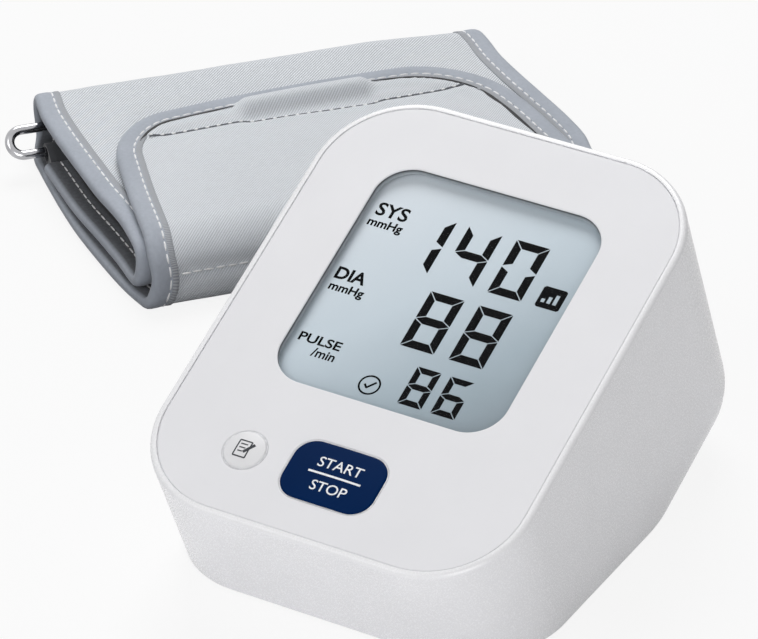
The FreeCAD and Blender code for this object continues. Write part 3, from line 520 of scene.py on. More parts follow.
class Print:
    """Thin flat shapes on the face, gathered into one piece."""

    def __init__(self, height, thick):
        self.height = height
        self.thick = thick
        self.vertices = []
        self.faces = []

    def add(self, vertices, faces):
        base = len(self.vertices)
        self.vertices += [face_place(x, y, self.height(x, y) + z) for x, y, z in vertices]
        self.faces += [tuple(base + i for i in face) for face in faces]

    def plate(self, outline):
        self.add([(x, y, z) for z in (0.0, self.thick) for x, y in outline], tube_faces(2, len(outline)))

    def box(self, left, low, right, high):
        self.plate([(left, low), (right, low), (right, high), (left, high)])

    def bar(self, start, stop, width, parts=1):
        """A straight stroke with square ends, cut into parts so that it can follow a crown."""
        a = Vector(start)
        b = Vector(stop)
        side = (b - a).normalized().orthogonal() * (width / 2)
        for k in range(parts):
            low = a.lerp(b, k / parts)
            high = a.lerp(b, (k + 1) / parts)
            self.plate([low + side, low - side, high - side, high + side])

    def ring(self, centre, radius, width, parts=40):
        spokes = circle(parts)
        near = radius - width / 2
        far = radius + width / 2
        for low, high in zip(spokes, spokes[1:] + spokes[:1]):
            corners = ((low, near), (low, far), (high, far), (high, near))
            self.plate([(centre[0] + r * c, centre[1] + r * s) for (c, s), r in corners])

    def words(self, text, left, low, high, right, weight):
        """Text in Blender's own plain typeface, fitted into a box."""
        curve = bpy.data.curves.new("words", "FONT")
        curve.body = text
        curve.offset = weight
        curve.extrude = 0.5
        curve.resolution_u = 4
        holder = add_object("words", curve)
        bpy.context.view_layer.update()
        mesh = bpy.data.meshes.new_from_object(holder.evaluated_get(bpy.context.evaluated_depsgraph_get()))
        xs = [v.co.x for v in mesh.vertices]
        ys = [v.co.y for v in mesh.vertices]
        x0 = min(xs)
        y0 = min(ys)
        wide = (right - left) / (max(xs) - x0)
        tall = (high - low) / (max(ys) - y0)
        points = []
        for x, y, z in (v.co for v in mesh.vertices):
            points.append((left + (x - x0) * wide, low + (y - y0) * tall, (z + 0.5) * self.thick))
        self.add(points, [tuple(f.vertices) for f in mesh.polygons])
        bpy.data.objects.remove(holder)
        bpy.data.curves.remove(curve)
        bpy.data.meshes.remove(mesh)

    def finish(self, name, material, body):
        add_mesh(name, self.vertices, self.faces, [material], body, smooth=False)


# Display. Digit rows: low edge, height, width, bar, and each digit with its left edge.
# Labels: text, left, low, high and right edge, weight.

DIGIT_PARTS = {"0": "abcdef", "1": "bc", "4": "bcfg", "6": "acdefg", "8": "abcdefg"}
DIGIT_GAP = 0.12
DIGIT_ROWS = (
    (82.85, 17.05, 9.5, 2.5, (("1", -17.1), ("4", -4.35), ("0", 8.9))),
    (61.45, 17.35, 9.6, 2.5, (("8", -4.35), ("8", 9.05))),
    (45.7, 11.65, 6.8, 1.9, (("8", 3.0), ("6", 12.1))),
)
LABELS = (
    ("SYS", -29.0, 95.4, 99.5, -20.2, 0.02), ("mmHg", -29.4, 91.2, 94.5, -19.8, 0.03),
    ("DIA", -29.6, 74.5, 78.2, -21.2, 0.03), ("mmHg", -29.4, 70.2, 73.5, -19.8, 0.03),
    ("PULSE", -29.3, 54.7, 57.4, -17.6, 0.022), ("/min", -24.0, 51.3, 54.0, -17.6, 0.022),
)


def digit_outlines(wide, tall, bar):
    """The seven mitred bars of a digit, counter-clockwise."""
    mid = tall / 2
    half = bar / 2
    low = [(0, 0), (wide, 0), (wide - bar, bar), (bar, bar)]
    side = [(0, mid), (0, 0), (bar, bar), (bar, mid - half)]
    middle = [(0, mid), (bar, mid - half), (wide - bar, mid - half), (wide, mid), (wide - bar, mid + half),
              (bar, mid + half)]

    def across(shape):
        return [(wide - x, y) for x, y in reversed(shape)]

    def upward(shape):
        return [(x, tall - y) for x, y in reversed(shape)]
    return {"a": upward(low), "b": across(upward(side)), "c": across(side), "d": low, "e": side,
            "f": upward(side), "g": middle}


def make_display(black):
    """Readings, their labels and two small signs on the display."""
    panel = Print(lambda u, v: LCD_TOP, INK_THICK)
    for low, tall, wide, bar, digits in DIGIT_ROWS:
        outlines = digit_outlines(wide, tall, bar)
        for digit, left in digits:
            for part in DIGIT_PARTS[digit]:
                panel.plate([(left + x, low + y) for x, y in inset(outlines[part], DIGIT_GAP)])
    for label in LABELS:
        panel.words(*label)
    u, v = -5.7, 48.3
    panel.ring((u, v), 2.65, 0.5)
    panel.bar((u - 1.3, v), (u - 0.35, v - 1.0), 0.55)
    panel.bar((u - 0.5, v - 1.0), (u + 1.4, v + 1.2), 0.55)
    add_level_sign(panel)
    panel.finish("display_ink", black, "monitor")


def add_level_sign(panel):
    """Dark rounded square with a clear rising-level sign in it, built around the gaps."""
    left, right, low, high = 21.9, 28.4, 83.0, 89.4
    base, head = 84.6, 88.5
    cut = 0.5
    half = 0.475
    panel.plate([(left, low + cut), (left + cut, low), (right - cut, low), (right, low + cut), (right, base),
                 (left, base)])
    panel.plate([(left, head), (right, head), (right, high - cut), (right - cut, high), (left + cut, high),
                 (left, high - cut)])
    edge = left
    for x, top in ((23.3, 85.7), (24.9, 86.6), (26.5, 87.6)):
        panel.box(edge, base, x - half, head)
        panel.box(x - half, top, x + half, head)
        edge = x + half
    panel.box(edge, base, right, head)


# Button prints.

def crown_height(place, half):
    """Height of a crowned cap above the lip, over the face."""
    ball = (half * half + BUTTON_CROWN * BUTTON_CROWN) / (2 * BUTTON_CROWN)

    def height(u, v):
        du = u - place[0]
        dv = v - place[1]
        return BUTTON_PROUD - ball + sqrt(ball * ball - du * du - dv * dv)
    return height


def make_start_print(white):
    sign = Print(crown_height(START_PLACE, START_HALF), PRINT_THICK)
    sign.words("START", -5.3, 21.1, 23.95, 6.6, 0.004)
    sign.bar((-6.6, 19.35), (7.6, 19.35), 0.55, 16)
    sign.words("STOP", -4.1, 14.5, 17.3, 5.5, 0.004)
    sign.finish("start_stop_print", white, "start_stop_button")


def make_memory_print(grey):
    """A plain note sheet with a pencil, for the stored readings."""
    sign = Print(crown_height(MEMORY_PLACE, MEMORY_HALF), PRINT_THICK)
    left, right, low, high = -26.5, -23.2, 17.1, 21.7
    corners = [(left, low), (right, low), (right, high), (left, high)]
    for start, stop in zip(corners, corners[1:] + corners[:1]):
        sign.bar(start, stop, 0.34, 4)
    for k, short in enumerate((0.3, 0.5, 0.9)):
        y = high - 1.0 - k * 1.05
        sign.bar((left + 0.65, y), (right - 0.5 - short, y), 0.3, 2)
    tip = (-24.3, 18.5)
    end = (-22.3, 21.3)
    sign.bar(tip, end, 0.75, 4)
    sign.finish("memory_print", grey, "memory_button")


# Seals in the gaps of the face: half width, half height, corner, middle, near and far side of each gap.

SEAL_TOP = -0.24
SEAL_LOW = -0.95
SEALS = (
    (START_HALF, START_HALF_HIGH, START_R, START_PLACE, 0.04, 0.26),
    (MEMORY_HALF, MEMORY_HALF, MEMORY_HALF, MEMORY_PLACE, 0.04, 0.26),
    (48.85, 63.15, 23.15, (0.0, 65.0), 0.02, 0.13),
)


def rounded_outline(half_u, half_v, r, middle):
    """Points of a rectangle with round corners, counter-clockwise."""
    parts = 14
    points = []
    for k, (side_u, side_v) in enumerate(((1, -1), (1, 1), (-1, 1), (-1, -1))):
        for i in range(parts + 1):
            angle = radians(-90 + 90 * (k + i / parts))
            points.append((middle[0] + side_u * (half_u - r) + r * cos(angle),
                           middle[1] + side_v * (half_v - r) + r * sin(angle)))
    return points


def make_seals(skin):
    """Thin soft rims in the gaps round the two buttons and round the face plate."""
    vertices = []
    faces = []
    for half_u, half_v, r, middle, near, far in SEALS:
        first = len(vertices)
        for off, height in ((far, SEAL_LOW), (far, SEAL_TOP), (near, SEAL_TOP), (near, SEAL_LOW)):
            ring = rounded_outline(half_u + off, half_v + off, r + off, middle)
            vertices += [face_place(u, v, height) for u, v in ring]
        faces += tube_faces(4, len(ring), first, True)
    add_mesh("gap_seals", vertices, faces, [skin], "monitor", smooth=False)


# Cuff cloth, worked out flat and then laid along the folds.

BACK_RIGHT_DROP = 1.8
DROP_ACROSS = (92.0, 132.0)
DROP_BACK = (60.0, 98.0)


class Fold:
    """The path of the folded cloth, from the flap's end to the inner end."""

    FINE = 0.25
    ROW_EACH = 5

    def __init__(self):
        front = BAND_HALF
        back = CUFF_DEEP - BAND_HALF
        inner = INNER_FOLD + BAND_HALF
        slope = atan2(TOP_BACK_Z - TOP_FRONT_Z, back - inner)
        rise = tan(slope)
        flap_up = LAYER_PITCH / cos(slope)

        def flap(p):
            return p, TOP_FRONT_Z + (p - inner) * rise + flap_up
        corners = [
            flap(FLAP_END), flap(front), (front, BAND_HALF), (back, BAND_HALF), (back, TOP_BACK_Z),
            (inner, TOP_FRONT_Z), (inner, INNER_Z), (INNER_END, INNER_Z),
        ]
        self.corners = [Vector(c) for c in corners]
        self.table = []
        self.rows = []
        self.walk()
        self.lengths = [entry[0] for entry in self.table]

    def note(self, point, outward, row):
        s = 0.0
        if self.table:
            s = self.table[-1][0] + (point - self.table[-1][1]).length
        self.table.append((s, point.copy(), outward.copy()))
        if row:
            self.rows.append(s)

    def walk(self):
        """Notes points along the straight runs and the bends, with rows for the mesh."""
        ways = [(b - a).normalized() for a, b in zip(self.corners, self.corners[1:])]
        out = [Vector((w.y, -w.x)) for w in ways]
        start = self.corners[0]
        for k, way in enumerate(ways):
            last = k == len(ways) - 1
            stop = self.corners[k + 1]
            if not last:
                turn = acos(max(-1.0, min(1.0, way.dot(ways[k + 1]))))
                radius = FOLD_RADII[k]
                stop = stop - way * (radius * tan(turn / 2))
            steps = max(1, round((stop - start).length / self.FINE))
            for i in range(steps + (1 if last else 0)):
                self.note(start.lerp(stop, i / steps), out[k], i % self.ROW_EACH == 0 or i == steps)
            if last:
                break
            centre = stop - out[k] * radius
            steps = max(6, round(turn * radius / self.FINE))
            for i in range(steps):
                normal = out[k].copy()
                normal.rotate(Matrix.Rotation(turn * i / steps, 2))
                self.note(centre + normal * radius, normal, i % 2 == 0)
            start = centre + out[k + 1] * radius

    def at(self, s):
        """Point and outward normal at a length along the path."""
        k = min(max(bisect.bisect_right(self.lengths, s) - 1, 0), len(self.table) - 2)
        s0, p0, n0 = self.table[k]
        s1, p1, n1 = self.table[k + 1]
        t = (s - s0) / (s1 - s0)
        return p0 + (p1 - p0) * t, n0.lerp(n1, max(0.0, min(1.0, t))).normalized()

    def place(self, spot, n, table=TABLE_GAP):
        """World place of a spot of the flat cloth, n off its middle, flattened on the table."""
        point, outward = self.at(spot.y)
        point = point + outward * n
        share = step(*DROP_ACROSS, spot.x) * step(*DROP_BACK, point.x) * point.y / TOP_BACK_Z
        return cuff_place(spot.x, point.x, max(table, point.y - BACK_RIGHT_DROP * share))


def smooth_through(knots):
    """A smooth curve through (place, value) knots, level before and after them."""
    places = [place for place, value in knots]
    values = [value for place, value in knots]
    inner = range(1, len(knots) - 1)
    slopes = [(values[k + 1] - values[k - 1]) / (places[k + 1] - places[k - 1]) for k in inner]
    slopes = [0.0] + slopes + [0.0]

    def at(s):
        s = min(max(s, places[0]), places[-1] - 1e-6)
        k = bisect.bisect_right(places, s) - 1
        run = places[k + 1] - places[k]
        t = (s - places[k]) / run
        value = values[k] * (1 + 2 * t) * (1 - t) ** 2 + values[k + 1] * t * t * (3 - 2 * t)
        return value + run * (slopes[k] * t * (1 - t) ** 2 - slopes[k + 1] * t * t * (1 - t))
    return at


fold = Fold()


def corner_lengths():
    """How far along the path each of its corners lies."""
    lengths = []
    for corner in fold.corners:
        start = lengths[-1] + 1 if lengths else 0.0
        later = [entry for entry in fold.table if entry[0] >= start]
        lengths.append(min(later, key=lambda entry: (entry[1] - corner).length)[0])
    return lengths


corner_s = corner_lengths()
front_fold_s = corner_s[1]

# How far the edges stray sideways: corner of the path, share of the way to the next one, millimetres.
LEFT_STRAYS = (
    (0, 0.5, 0.0), (0, 0.85, 0.8), (1, 0.0, 1.5), (1, 0.5, 2.0), (2, 0.0, 0.0), (2, 0.12, -2.0),
    (2, 0.28, -3.0), (2, 0.45, -3.4), (2, 0.6, -2.9), (2, 0.72, -2.1), (2, 0.83, -1.2), (2, 0.91, -0.2),
    (2, 0.97, 2.2), (3, 0.1, 3.8), (3, 0.6, 3.6), (4, 0.0, 3.0), (4, 0.07, 1.8), (4, 0.15, 0.7),
    (4, 0.3, 0.2), (4, 0.5, 0.35), (4, 0.65, 0.6), (4, 0.74, 1.3), (4, 0.82, 1.6), (4, 0.91, 1.2),
    (5, 0.0, 0.3), (6, 0.0, -0.8), (6, 0.2, -0.8), (6, 0.4, -1.3), (6, 0.65, -2.2), (6, 1.0, -1.8),
)
RIGHT_STRAYS = (
    (0, 0.4, 0.0), (0, 0.7, -1.8), (1, 0.0, -4.0), (2, 0.0, -2.0), (2, 0.5, 0.0), (3, 0.0, -0.6),
    (4, 0.0, -0.6), (4, 0.1, -0.6), (4, 0.23, -1.6), (4, 0.37, -1.3), (4, 0.49, -0.2), (4, 0.61, 0.9),
    (4, 0.71, 1.5), (4, 0.79, 1.5), (4, 0.87, 0.2), (5, 0.0, -0.6), (6, 0.0, 0.0), (6, 1.0, 0.0),
)


def stray_curve(strays):
    last = len(corner_s) - 1
    return smooth_through([(corner_s[k] + share * (corner_s[min(k + 1, last)] - corner_s[k]), off)
                           for k, share, off in strays])


left_stray = stray_curve(LEFT_STRAYS)
right_stray = stray_curve(RIGHT_STRAYS)


def edge_lean(s, flap_skew):
    """How far an askew edge has moved over: the flap's lean before the front fold, the body's after it."""
    body = step(*LEAN_TURN, s - front_fold_s)
    return ((1 - body) * flap_skew + body * BODY_SKEW) * fold.at(s)[0].x


def left_edge(s):
    return edge_lean(s, FLAP_LEFT_SKEW) + left_stray(s)


def right_edge(s):
    return CUFF_WIDTH + edge_lean(s, FLAP_RIGHT_SKEW) + right_stray(s)


def bow(t):
    """Flap's end line, from its left corner at 0 to its right corner at 1."""
    left = left_edge(FLAP_LEFT_DROP)
    right = right_edge(FLAP_RIGHT_DROP)
    drop = 2 * FLAP_LEFT_DROP * (t - 0.5) * (t - 1) + 2 * FLAP_RIGHT_DROP * t * (t - 0.5)
    return Vector((left + (right - left) * t, drop))


def round_corner(start, corner, stop):
    """Points between start and stop, nearly on a circle that meets both sides of the corner."""
    weight = 0.72
    count = 24
    points = []
    for k in range(1, count):
        t = k / count
        shares = ((1 - t) ** 2, 2 * weight * t * (1 - t), t ** 2)
        points.append((start * shares[0] + corner * shares[1] + stop * shares[2]) / sum(shares))
    return points


def outline_points():
    """The cloth's edge, from the inner end up the left side, round the flap and down the right side."""
    left = [Vector((left_edge(s), s)) for s in reversed(fold.rows) if s > FLAP_LEFT_DROP + FLAP_LEFT_R]
    right = [Vector((right_edge(s), s)) for s in fold.rows if s > FLAP_RIGHT_DROP + FLAP_RIGHT_R]
    wide = bow(1).x - bow(0).x
    t0 = FLAP_LEFT_R / wide
    t1 = 1 - FLAP_RIGHT_R / wide
    middle = [bow(t) for t in spaced(t0, t1, BOW_PARTS)]
    points = left + round_corner(left[-1], bow(0), middle[0]) + middle
    return points + round_corner(middle[-1], bow(1), right[0]) + right


def inward_ways(points):
    """Unit vectors that point into the cloth from its edge."""
    ways = []
    for k in range(len(points)):
        along = points[min(k + 1, len(points) - 1)] - points[max(k - 1, 0)]
        ways.append(along.orthogonal().normalized())
    return ways


def search_tree(points):
    tree = kdtree.KDTree(len(points))
    for number, spot in enumerate(points):
        tree.insert((spot.x, spot.y, 0.0), number)
    tree.balance()
    return tree


def nearest(points, place):
    return min(range(len(points)), key=lambda k: (points[k] - place).length)


outline = outline_points()
inward = inward_ways(outline)
flap_corner = nearest(outline, bow(0))
edge_tree = search_tree(outline)

# The cloth's relief. The pocket under the flap's end is open at its left and right and puffed up between.
SEAM_S = 15.2
SEAM_RISE = 0.9
SEAM_RISE_AT = 52.0
SEAM_RISE_WIDE = 24.0
SEAM_DEEP = 0.5
SEAM_WIDE = 1.3
FRONT_SEAM_Z = 9.8
FRONT_SEAM_DEEP = 1.0
FRONT_SEAM_WIDE = 2.2
SEAM_MARGIN = 8.0
SEAM_RIM = 7.4
SEAM_PARTS = 120
POCKET_LEFT = (44.0, 49.0)
POCKET_RIGHT = (82.0, 87.0)
POCKET_DEEP = (46.0, 54.0)
PUFF_HIGH = 2.5
PUFF_SEAM_DEEP = 0.9
PUFF_SEAM_WIDE = 2.4
PUFF_RISE = (3.6, 6.2)
PUFF_FALL = (7.8, 12.6)
SLIT_IN = 6.0
SLIT_TURN = (88.0, 104.0)
LIP_PROUD = 0.5
LIP_RISE = (0.2, 0.8)
LIP_FALL = (2.2, 5.5)
SEWN_RIM = (7.2, 9.2)
SWELL_RIM = (7.6, 20.0)
WAVE_HIGH = 0.28
RIPPLE_HIGH = 0.1
BELLY_HIGH = 0.45
BELLY_RISE = (18.0, 30.0)
BELLY_FALL = (45.0, FLAP_END)
front_seam_s = next(s for s, point, n in fold.table if s > front_fold_s and point.y < FRONT_SEAM_Z)


def seam_s(a):
    """Where the pocket's seam runs, a little nearer to the flap's end in its left half."""
    return SEAM_S - SEAM_RISE * bell(a - SEAM_RISE_AT, SEAM_RISE_WIDE)


def rim_of(spot):
    """Distance to the nearest edge, and whether that edge is the flap's end or its right side."""
    place, number, distance = edge_tree.find((spot.x, spot.y, 0.0))
    return distance, number >= flap_corner


def slit_in(a):
    """How far in from the edge the pocket's mouth lies, deeper along the flap's right side."""
    return SLIT_IN + step(*SLIT_TURN, a)


def swell(spot, side):
    """How far the cloth stands off its plain thickness."""
    a, s = spot
    rim, open_side = rim_of(spot)
    inside = step(*SWELL_RIM, rim)
    wave = noise.noise(Vector((a / 26, s / 19, 3.0 * side)))
    ripple = noise.noise(Vector((a / 9, s / 12, 7.0 + side)))
    off = inside * (WAVE_HIGH * wave + RIPPLE_HIGH * ripple)
    if side < 0:
        return off
    sewn = step(*SEWN_RIM, rim)
    past = s - seam_s(a)
    puff = hump(a, POCKET_LEFT, POCKET_RIGHT)
    wide = SEAM_WIDE if past > 0 else SEAM_WIDE + PUFF_SEAM_WIDE * puff
    off -= sewn * (SEAM_DEEP + PUFF_SEAM_DEEP * puff) * bell(past, wide)
    off -= sewn * FRONT_SEAM_DEEP * bell(s - front_seam_s, FRONT_SEAM_WIDE)
    if open_side:
        if s < SEAM_S:
            off += puff * PUFF_HIGH * hump(rim, PUFF_RISE, PUFF_FALL)
        mouth = max(1 - step(*POCKET_LEFT, a), step(*POCKET_RIGHT, a)) * (1 - step(*POCKET_DEEP, s))
        off += mouth * LIP_PROUD * hump(rim - slit_in(a), LIP_RISE, LIP_FALL)
    return off + BELLY_HIGH * inside * hump(s, BELLY_RISE, BELLY_FALL)


CLOTH_IN = 0.9
CLOTH_COLUMNS = 104
FLAP_ROWS = 56
FLAP_CLOTH_PAST = 9.0


def strip_rows():
    """Rows of flat places from the inner end to the flap's straight part."""
    rows = []
    for s in reversed([s for s in fold.rows if s > FLAP_JOIN]):
        left = left_edge(s) + CLOTH_IN
        right = right_edge(s) - CLOTH_IN
        rows.append([Vector((a, s)) for a in spaced(left, right, CLOTH_COLUMNS)])
    return rows


def resampled(points, count):
    """Points spread evenly along a line."""
    lengths = [0.0]
    for a, b in zip(points, points[1:]):
        lengths.append(lengths[-1] + (b - a).length)
    spread = []
    for k in range(count + 1):
        target = lengths[-1] * k / count
        i = min(max(bisect.bisect_right(lengths, target) - 1, 0), len(points) - 2)
        t = (target - lengths[i]) / max(1e-9, lengths[i + 1] - lengths[i])
        spread.append(points[i].lerp(points[i + 1], t))
    return spread


def flap_rows(first):
    """Rows from the flap's straight part to its bowed end, blended between the four edges."""
    edge = [p + w * CLOTH_IN for p, w in zip(outline, inward) if p.y <= first[0].y]
    corner = nearest(edge, bow(0))
    other = nearest(edge, bow(1))
    left = resampled([first[0]] + edge[:corner + 1], FLAP_ROWS)
    right = resampled([first[-1]] + edge[:other - 1:-1], FLAP_ROWS)
    top = resampled(edge[corner:other + 1], CLOTH_COLUMNS)
    rows = []
    for i in range(1, FLAP_ROWS + 1):
        v = i / FLAP_ROWS
        row = []
        for j in range(CLOTH_COLUMNS + 1):
            u = j / CLOTH_COLUMNS
            point = first[j] * (1 - v) + top[j] * v + left[i] * (1 - u) + right[i] * u
            point -= first[0] * ((1 - u) * (1 - v)) + first[-1] * (u * (1 - v))
            point -= top[0] * ((1 - u) * v) + top[-1] * (u * v)
            row.append(point)
        rows.append(row)
    return rows


def make_sleeve(cloth, dark_lining_and_shade, flap):
    """The folded cloth itself, two skins with a closed rim, its outer one smoother on the flap."""
    rows = strip_rows()
    rows += flap_rows(rows[-1])
    spots = [spot for row in rows for spot in row]
    vertices = []
    for side in (1, -1):
        vertices += [fold.place(spot, side * (CLOTH_HALF + swell(spot, side))) for spot in spots]
    faces = skin_faces(len(rows), CLOTH_COLUMNS + 1)
    flat = spots + spots
    sleeve = add_mesh("cuff_cloth", vertices, faces, [cloth, dark_lining_and_shade, flap], "cuff", flat=flat)
    # The inner skin takes the dark lining, its darkness partly the lining's own and partly painted shade for
    # the inside of the folds.
    for polygon in sleeve.data.polygons:
        outer = 2 if flat[polygon.vertices[0]].y < front_seam_s + FLAP_CLOTH_PAST else 0
        polygon.material_index = 1 if min(polygon.vertices) >= len(spots) else outer
    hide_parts("cuff_sleeve")


SLIT_THICK = 0.25
SLIT_LEAST = 0.05
SLIT_END_S = 49.0


def first_after(start, test):
    """The first place of the outline after start that meets a test."""
    return next(k for k in range(start, len(outline)) if test(outline[k]))


def slit_run(start, stop, full, opens, closes):
    """Two edges of a pocket mouth that follows the edge tape and tapers over a share of its ends."""
    run = []
    for k in range(start, stop + 1):
        spot = outline[k]
        wide = full * hump((k - start) / (stop - start), (0.0, opens), (1 - closes, 1.0))
        wide *= 1 + 0.25 * noise.noise(Vector((spot.x / 5, spot.y / 5, 9.0)))
        near = slit_in(spot.x)
        run.append((spot + inward[k] * near, spot + inward[k] * (near + SLIT_LEAST + wide), LIP_PROUD))
    return run


def seam_run(line, half, proud):
    """Two edges of a line in a seam that crosses the cloth, and its height."""
    left = left_edge(line(0.0)) + SEAM_MARGIN
    right = right_edge(line(CUFF_WIDTH)) - SEAM_MARGIN
    aside = Vector((0.0, half))
    run = []
    for a in spaced(left, right, SEAM_PARTS):
        spot = Vector((a, line(a)))
        if rim_of(spot)[0] > SEAM_RIM:
            height = max(swell(place, 1) for place in (spot - aside, spot, spot + aside))
            run.append((spot - aside, spot + aside, height + proud))
    return run


def make_slits(dark, grey):
    """Painted shade: dark strips for the shaded mouths of the pocket beside the edge tape, and a grey strip
    for the shaded line in its straight seam.
    """
    left_stop = first_after(flap_corner, lambda spot: spot.x > POCKET_LEFT[0] + 2)
    right_start = first_after(flap_corner, lambda spot: spot.x > POCKET_RIGHT[0] + 2)
    right_turn = first_after(right_start, lambda spot: spot.y > SEAM_S - 1)
    right_stop = first_after(right_turn, lambda spot: spot.y > SLIT_END_S)
    runs = [slit_run(flap_corner - 4, left_stop, 0.7, 0.12, 0.35),
            slit_run(right_start, right_turn, 0.5, 0.3, 0.2),
            slit_run(right_turn + 1, right_stop, 0.8, 0.12, 0.4), seam_run(seam_s, 0.33, 0.12)]
    vertices = []
    flat = []
    faces = []
    for run in runs:
        first = len(vertices)
        for near, far, height in run:
            for spot, low in ((near, 0.0), (far, 0.0), (far, SLIT_THICK), (near, SLIT_THICK)):
                vertices.append(fold.place(spot, CLOTH_HALF + height - low))
                flat.append(spot)
        faces += tube_faces(len(run), 4, first)
    slits = add_mesh("cuff_pocket_slits", vertices, faces, [dark, grey], "cuff", False, flat)
    for polygon in slits.data.polygons:
        polygon.material_index = 1 if polygon.vertices[0] >= first else 0


# Edge tape: half of its folded section as distance in and height, and the inside of the fold.

BINDING_HALF_SECTION = [
    (7.1, 1.2), (7.1, 1.48), (6.9, 1.62), (6.2, 1.64), (5.35, 1.56), (4.9, 1.38), (4.45, 1.56), (3.8, 1.7),
    (2.8, 1.75), (1.9, 1.75), (1.1, 1.63), (0.5, 1.28), (0.13, 0.7),
]
BINDING_INSIDE = [(1.1, 1.0), (0.7, 0.5)]
PUCKER = 0.035
BULGE = 0.03


def make_binding(tape):
    """Edge tape along the whole outline of the cloth, puckered at its seam."""
    section = BINDING_HALF_SECTION + [(0.0, 0.0)] + [(d, -n) for d, n in reversed(BINDING_HALF_SECTION)]
    section += [(d, -n) for d, n in BINDING_INSIDE] + BINDING_INSIDE[::-1]
    vertices = []
    flat = []
    run = 0.0
    for k, (place, way) in enumerate(zip(outline, inward)):
        if k:
            run += (place - outline[k - 1]).length
        bulge = 1 + BULGE * noise.noise(Vector((run / 14, 2.0, 0.0)))
        for d, n in section:
            pucker = 1 + PUCKER * noise.noise(Vector((run / 2.2, d / 3, 1.0 if n > 0 else 5.0)))
            vertices.append(fold.place(place + way * d, n * pucker * bulge))
            flat.append(Vector((run, d if n > 0 else -d)))
    faces = tube_faces(len(outline), len(section))
    binding = add_mesh("cuff_edge_tape", vertices, faces, [tape], "cuff", flat=flat)
    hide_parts("cuff_binding_left", "cuff_binding_right", "cuff_binding_end")


EDGE_SEAM_IN = 4.9
EDGE_SEAM_HIGH = 1.44
STITCH_PITCH = 3.2
STITCH_PARTS = 12
STITCH_LENGTH = 2.35
SHORT_STITCH = 1.2
STITCH_HALF = 0.29
STITCH_AROUND = 6


def stitch_runs(points, length):
    """The few spots that each stitch of a seam follows."""
    total = sum((b - a).length for a, b in zip(points, points[1:]))
    stitches = max(1, int(total / STITCH_PITCH))
    spread = resampled(points, stitches * STITCH_PARTS)
    used = round(STITCH_PARTS * length / STITCH_PITCH)
    starts = range(0, stitches * STITCH_PARTS, STITCH_PARTS)
    return [spread[k:k + used + 1:max(1, used // 3)] for k in starts]


def stitch_points(spots, side, height):
    """Points of one stitch, a thin lens of thread."""
    cross = (spots[-1] - spots[0]).normalized().orthogonal()
    points = []
    for k, spot in enumerate(spots):
        full = STITCH_HALF * sin(pi * (k + 0.5) / len(spots)) ** 0.5
        for c, s in circle(STITCH_AROUND):
            points.append(fold.place(spot + cross * (full * c), side * (height + full * s), THREAD_GAP))
    return points


def make_stitches(white):
    """Dashed seams: along both sides of the edge tape, and across the outer skin of the cloth."""
    edge = [place + way * EDGE_SEAM_IN for place, way in zip(outline, inward)]
    seams = [(edge, side, EDGE_SEAM_HIGH, STITCH_LENGTH, False) for side in (1, -1)]
    for line, proud, length in ((seam_s, 0.16, SHORT_STITCH), (lambda a: front_seam_s, 0.27, STITCH_LENGTH)):
        run = [near.lerp(far, 0.5) for near, far, height in seam_run(line, 0.3, 0.0)]
        seams.append((run, 1, proud, length, True))
    vertices = []
    faces = []
    for points, side, height, length, on_skin in seams:
        for spots in stitch_runs(points, length):
            skin = CLOTH_HALF + max(swell(spot, side) for spot in spots) if on_skin else 0.0
            faces += tube_faces(len(spots), STITCH_AROUND, len(vertices))
            vertices += stitch_points(spots, side, height + skin)
    add_mesh("cuff_stitches", vertices, faces, [white], "cuff")


RING_P = 81.0
RING_Z = 6.6
RING_SHIFT = BODY_SKEW * RING_P
LOOP_OUT = 3.05
LOOP_IN = 2.1
LOOP_LEFT_IN = 1.0
LOOP_RIGHT_IN = 14.0
LOOP_TAIL = 4.6
LOOP_TAIL_HALF = 1.15
LOOP_WOBBLE = 0.12


def make_loop(tape):
    """Dark tape wrapped round the ring's bar and sewn to the inner end of the cloth."""
    around = 40
    steps = 60
    outer = []
    inner = []
    for c, s in circle(around):
        tail = step(0.3, 1.0, -c)
        lift = INNER_Z - RING_Z + LOOP_TAIL_HALF * s - LOOP_OUT * s
        outer.append((RING_P + LOOP_OUT * c - tail * LOOP_TAIL, RING_Z + LOOP_OUT * s + tail * lift))
        inner.append((RING_P + LOOP_IN * c, RING_Z + LOOP_IN * s))
    left = RING_SHIFT + LOOP_LEFT_IN
    right = CUFF_WIDTH + RING_SHIFT - LOOP_RIGHT_IN
    places = spaced(left, right, steps)
    rings = [(a, outer, LOOP_WOBBLE) for a in places] + [(a, inner, 0.0) for a in reversed(places)]
    vertices = []
    for a, ring, wobble in rings:
        for p, z in ring:
            vertices.append(cuff_place(a, p, z + wobble * noise.noise(Vector((a / 6, p / 4, z / 4)))))
    faces = tube_faces(len(rings), around, closed=True)
    loop = add_mesh("cuff_ring_tape", vertices, faces, [tape], "cuff")
    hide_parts("cuff_ring_loop")


RING_WIRE = 1.35
RING_DEEP = 7.3
RING_SLACK = 0.7
RING_LEAN = radians(44.0)
RING_LEFT_OUT = 9.8
RING_RIGHT_IN = 3.0


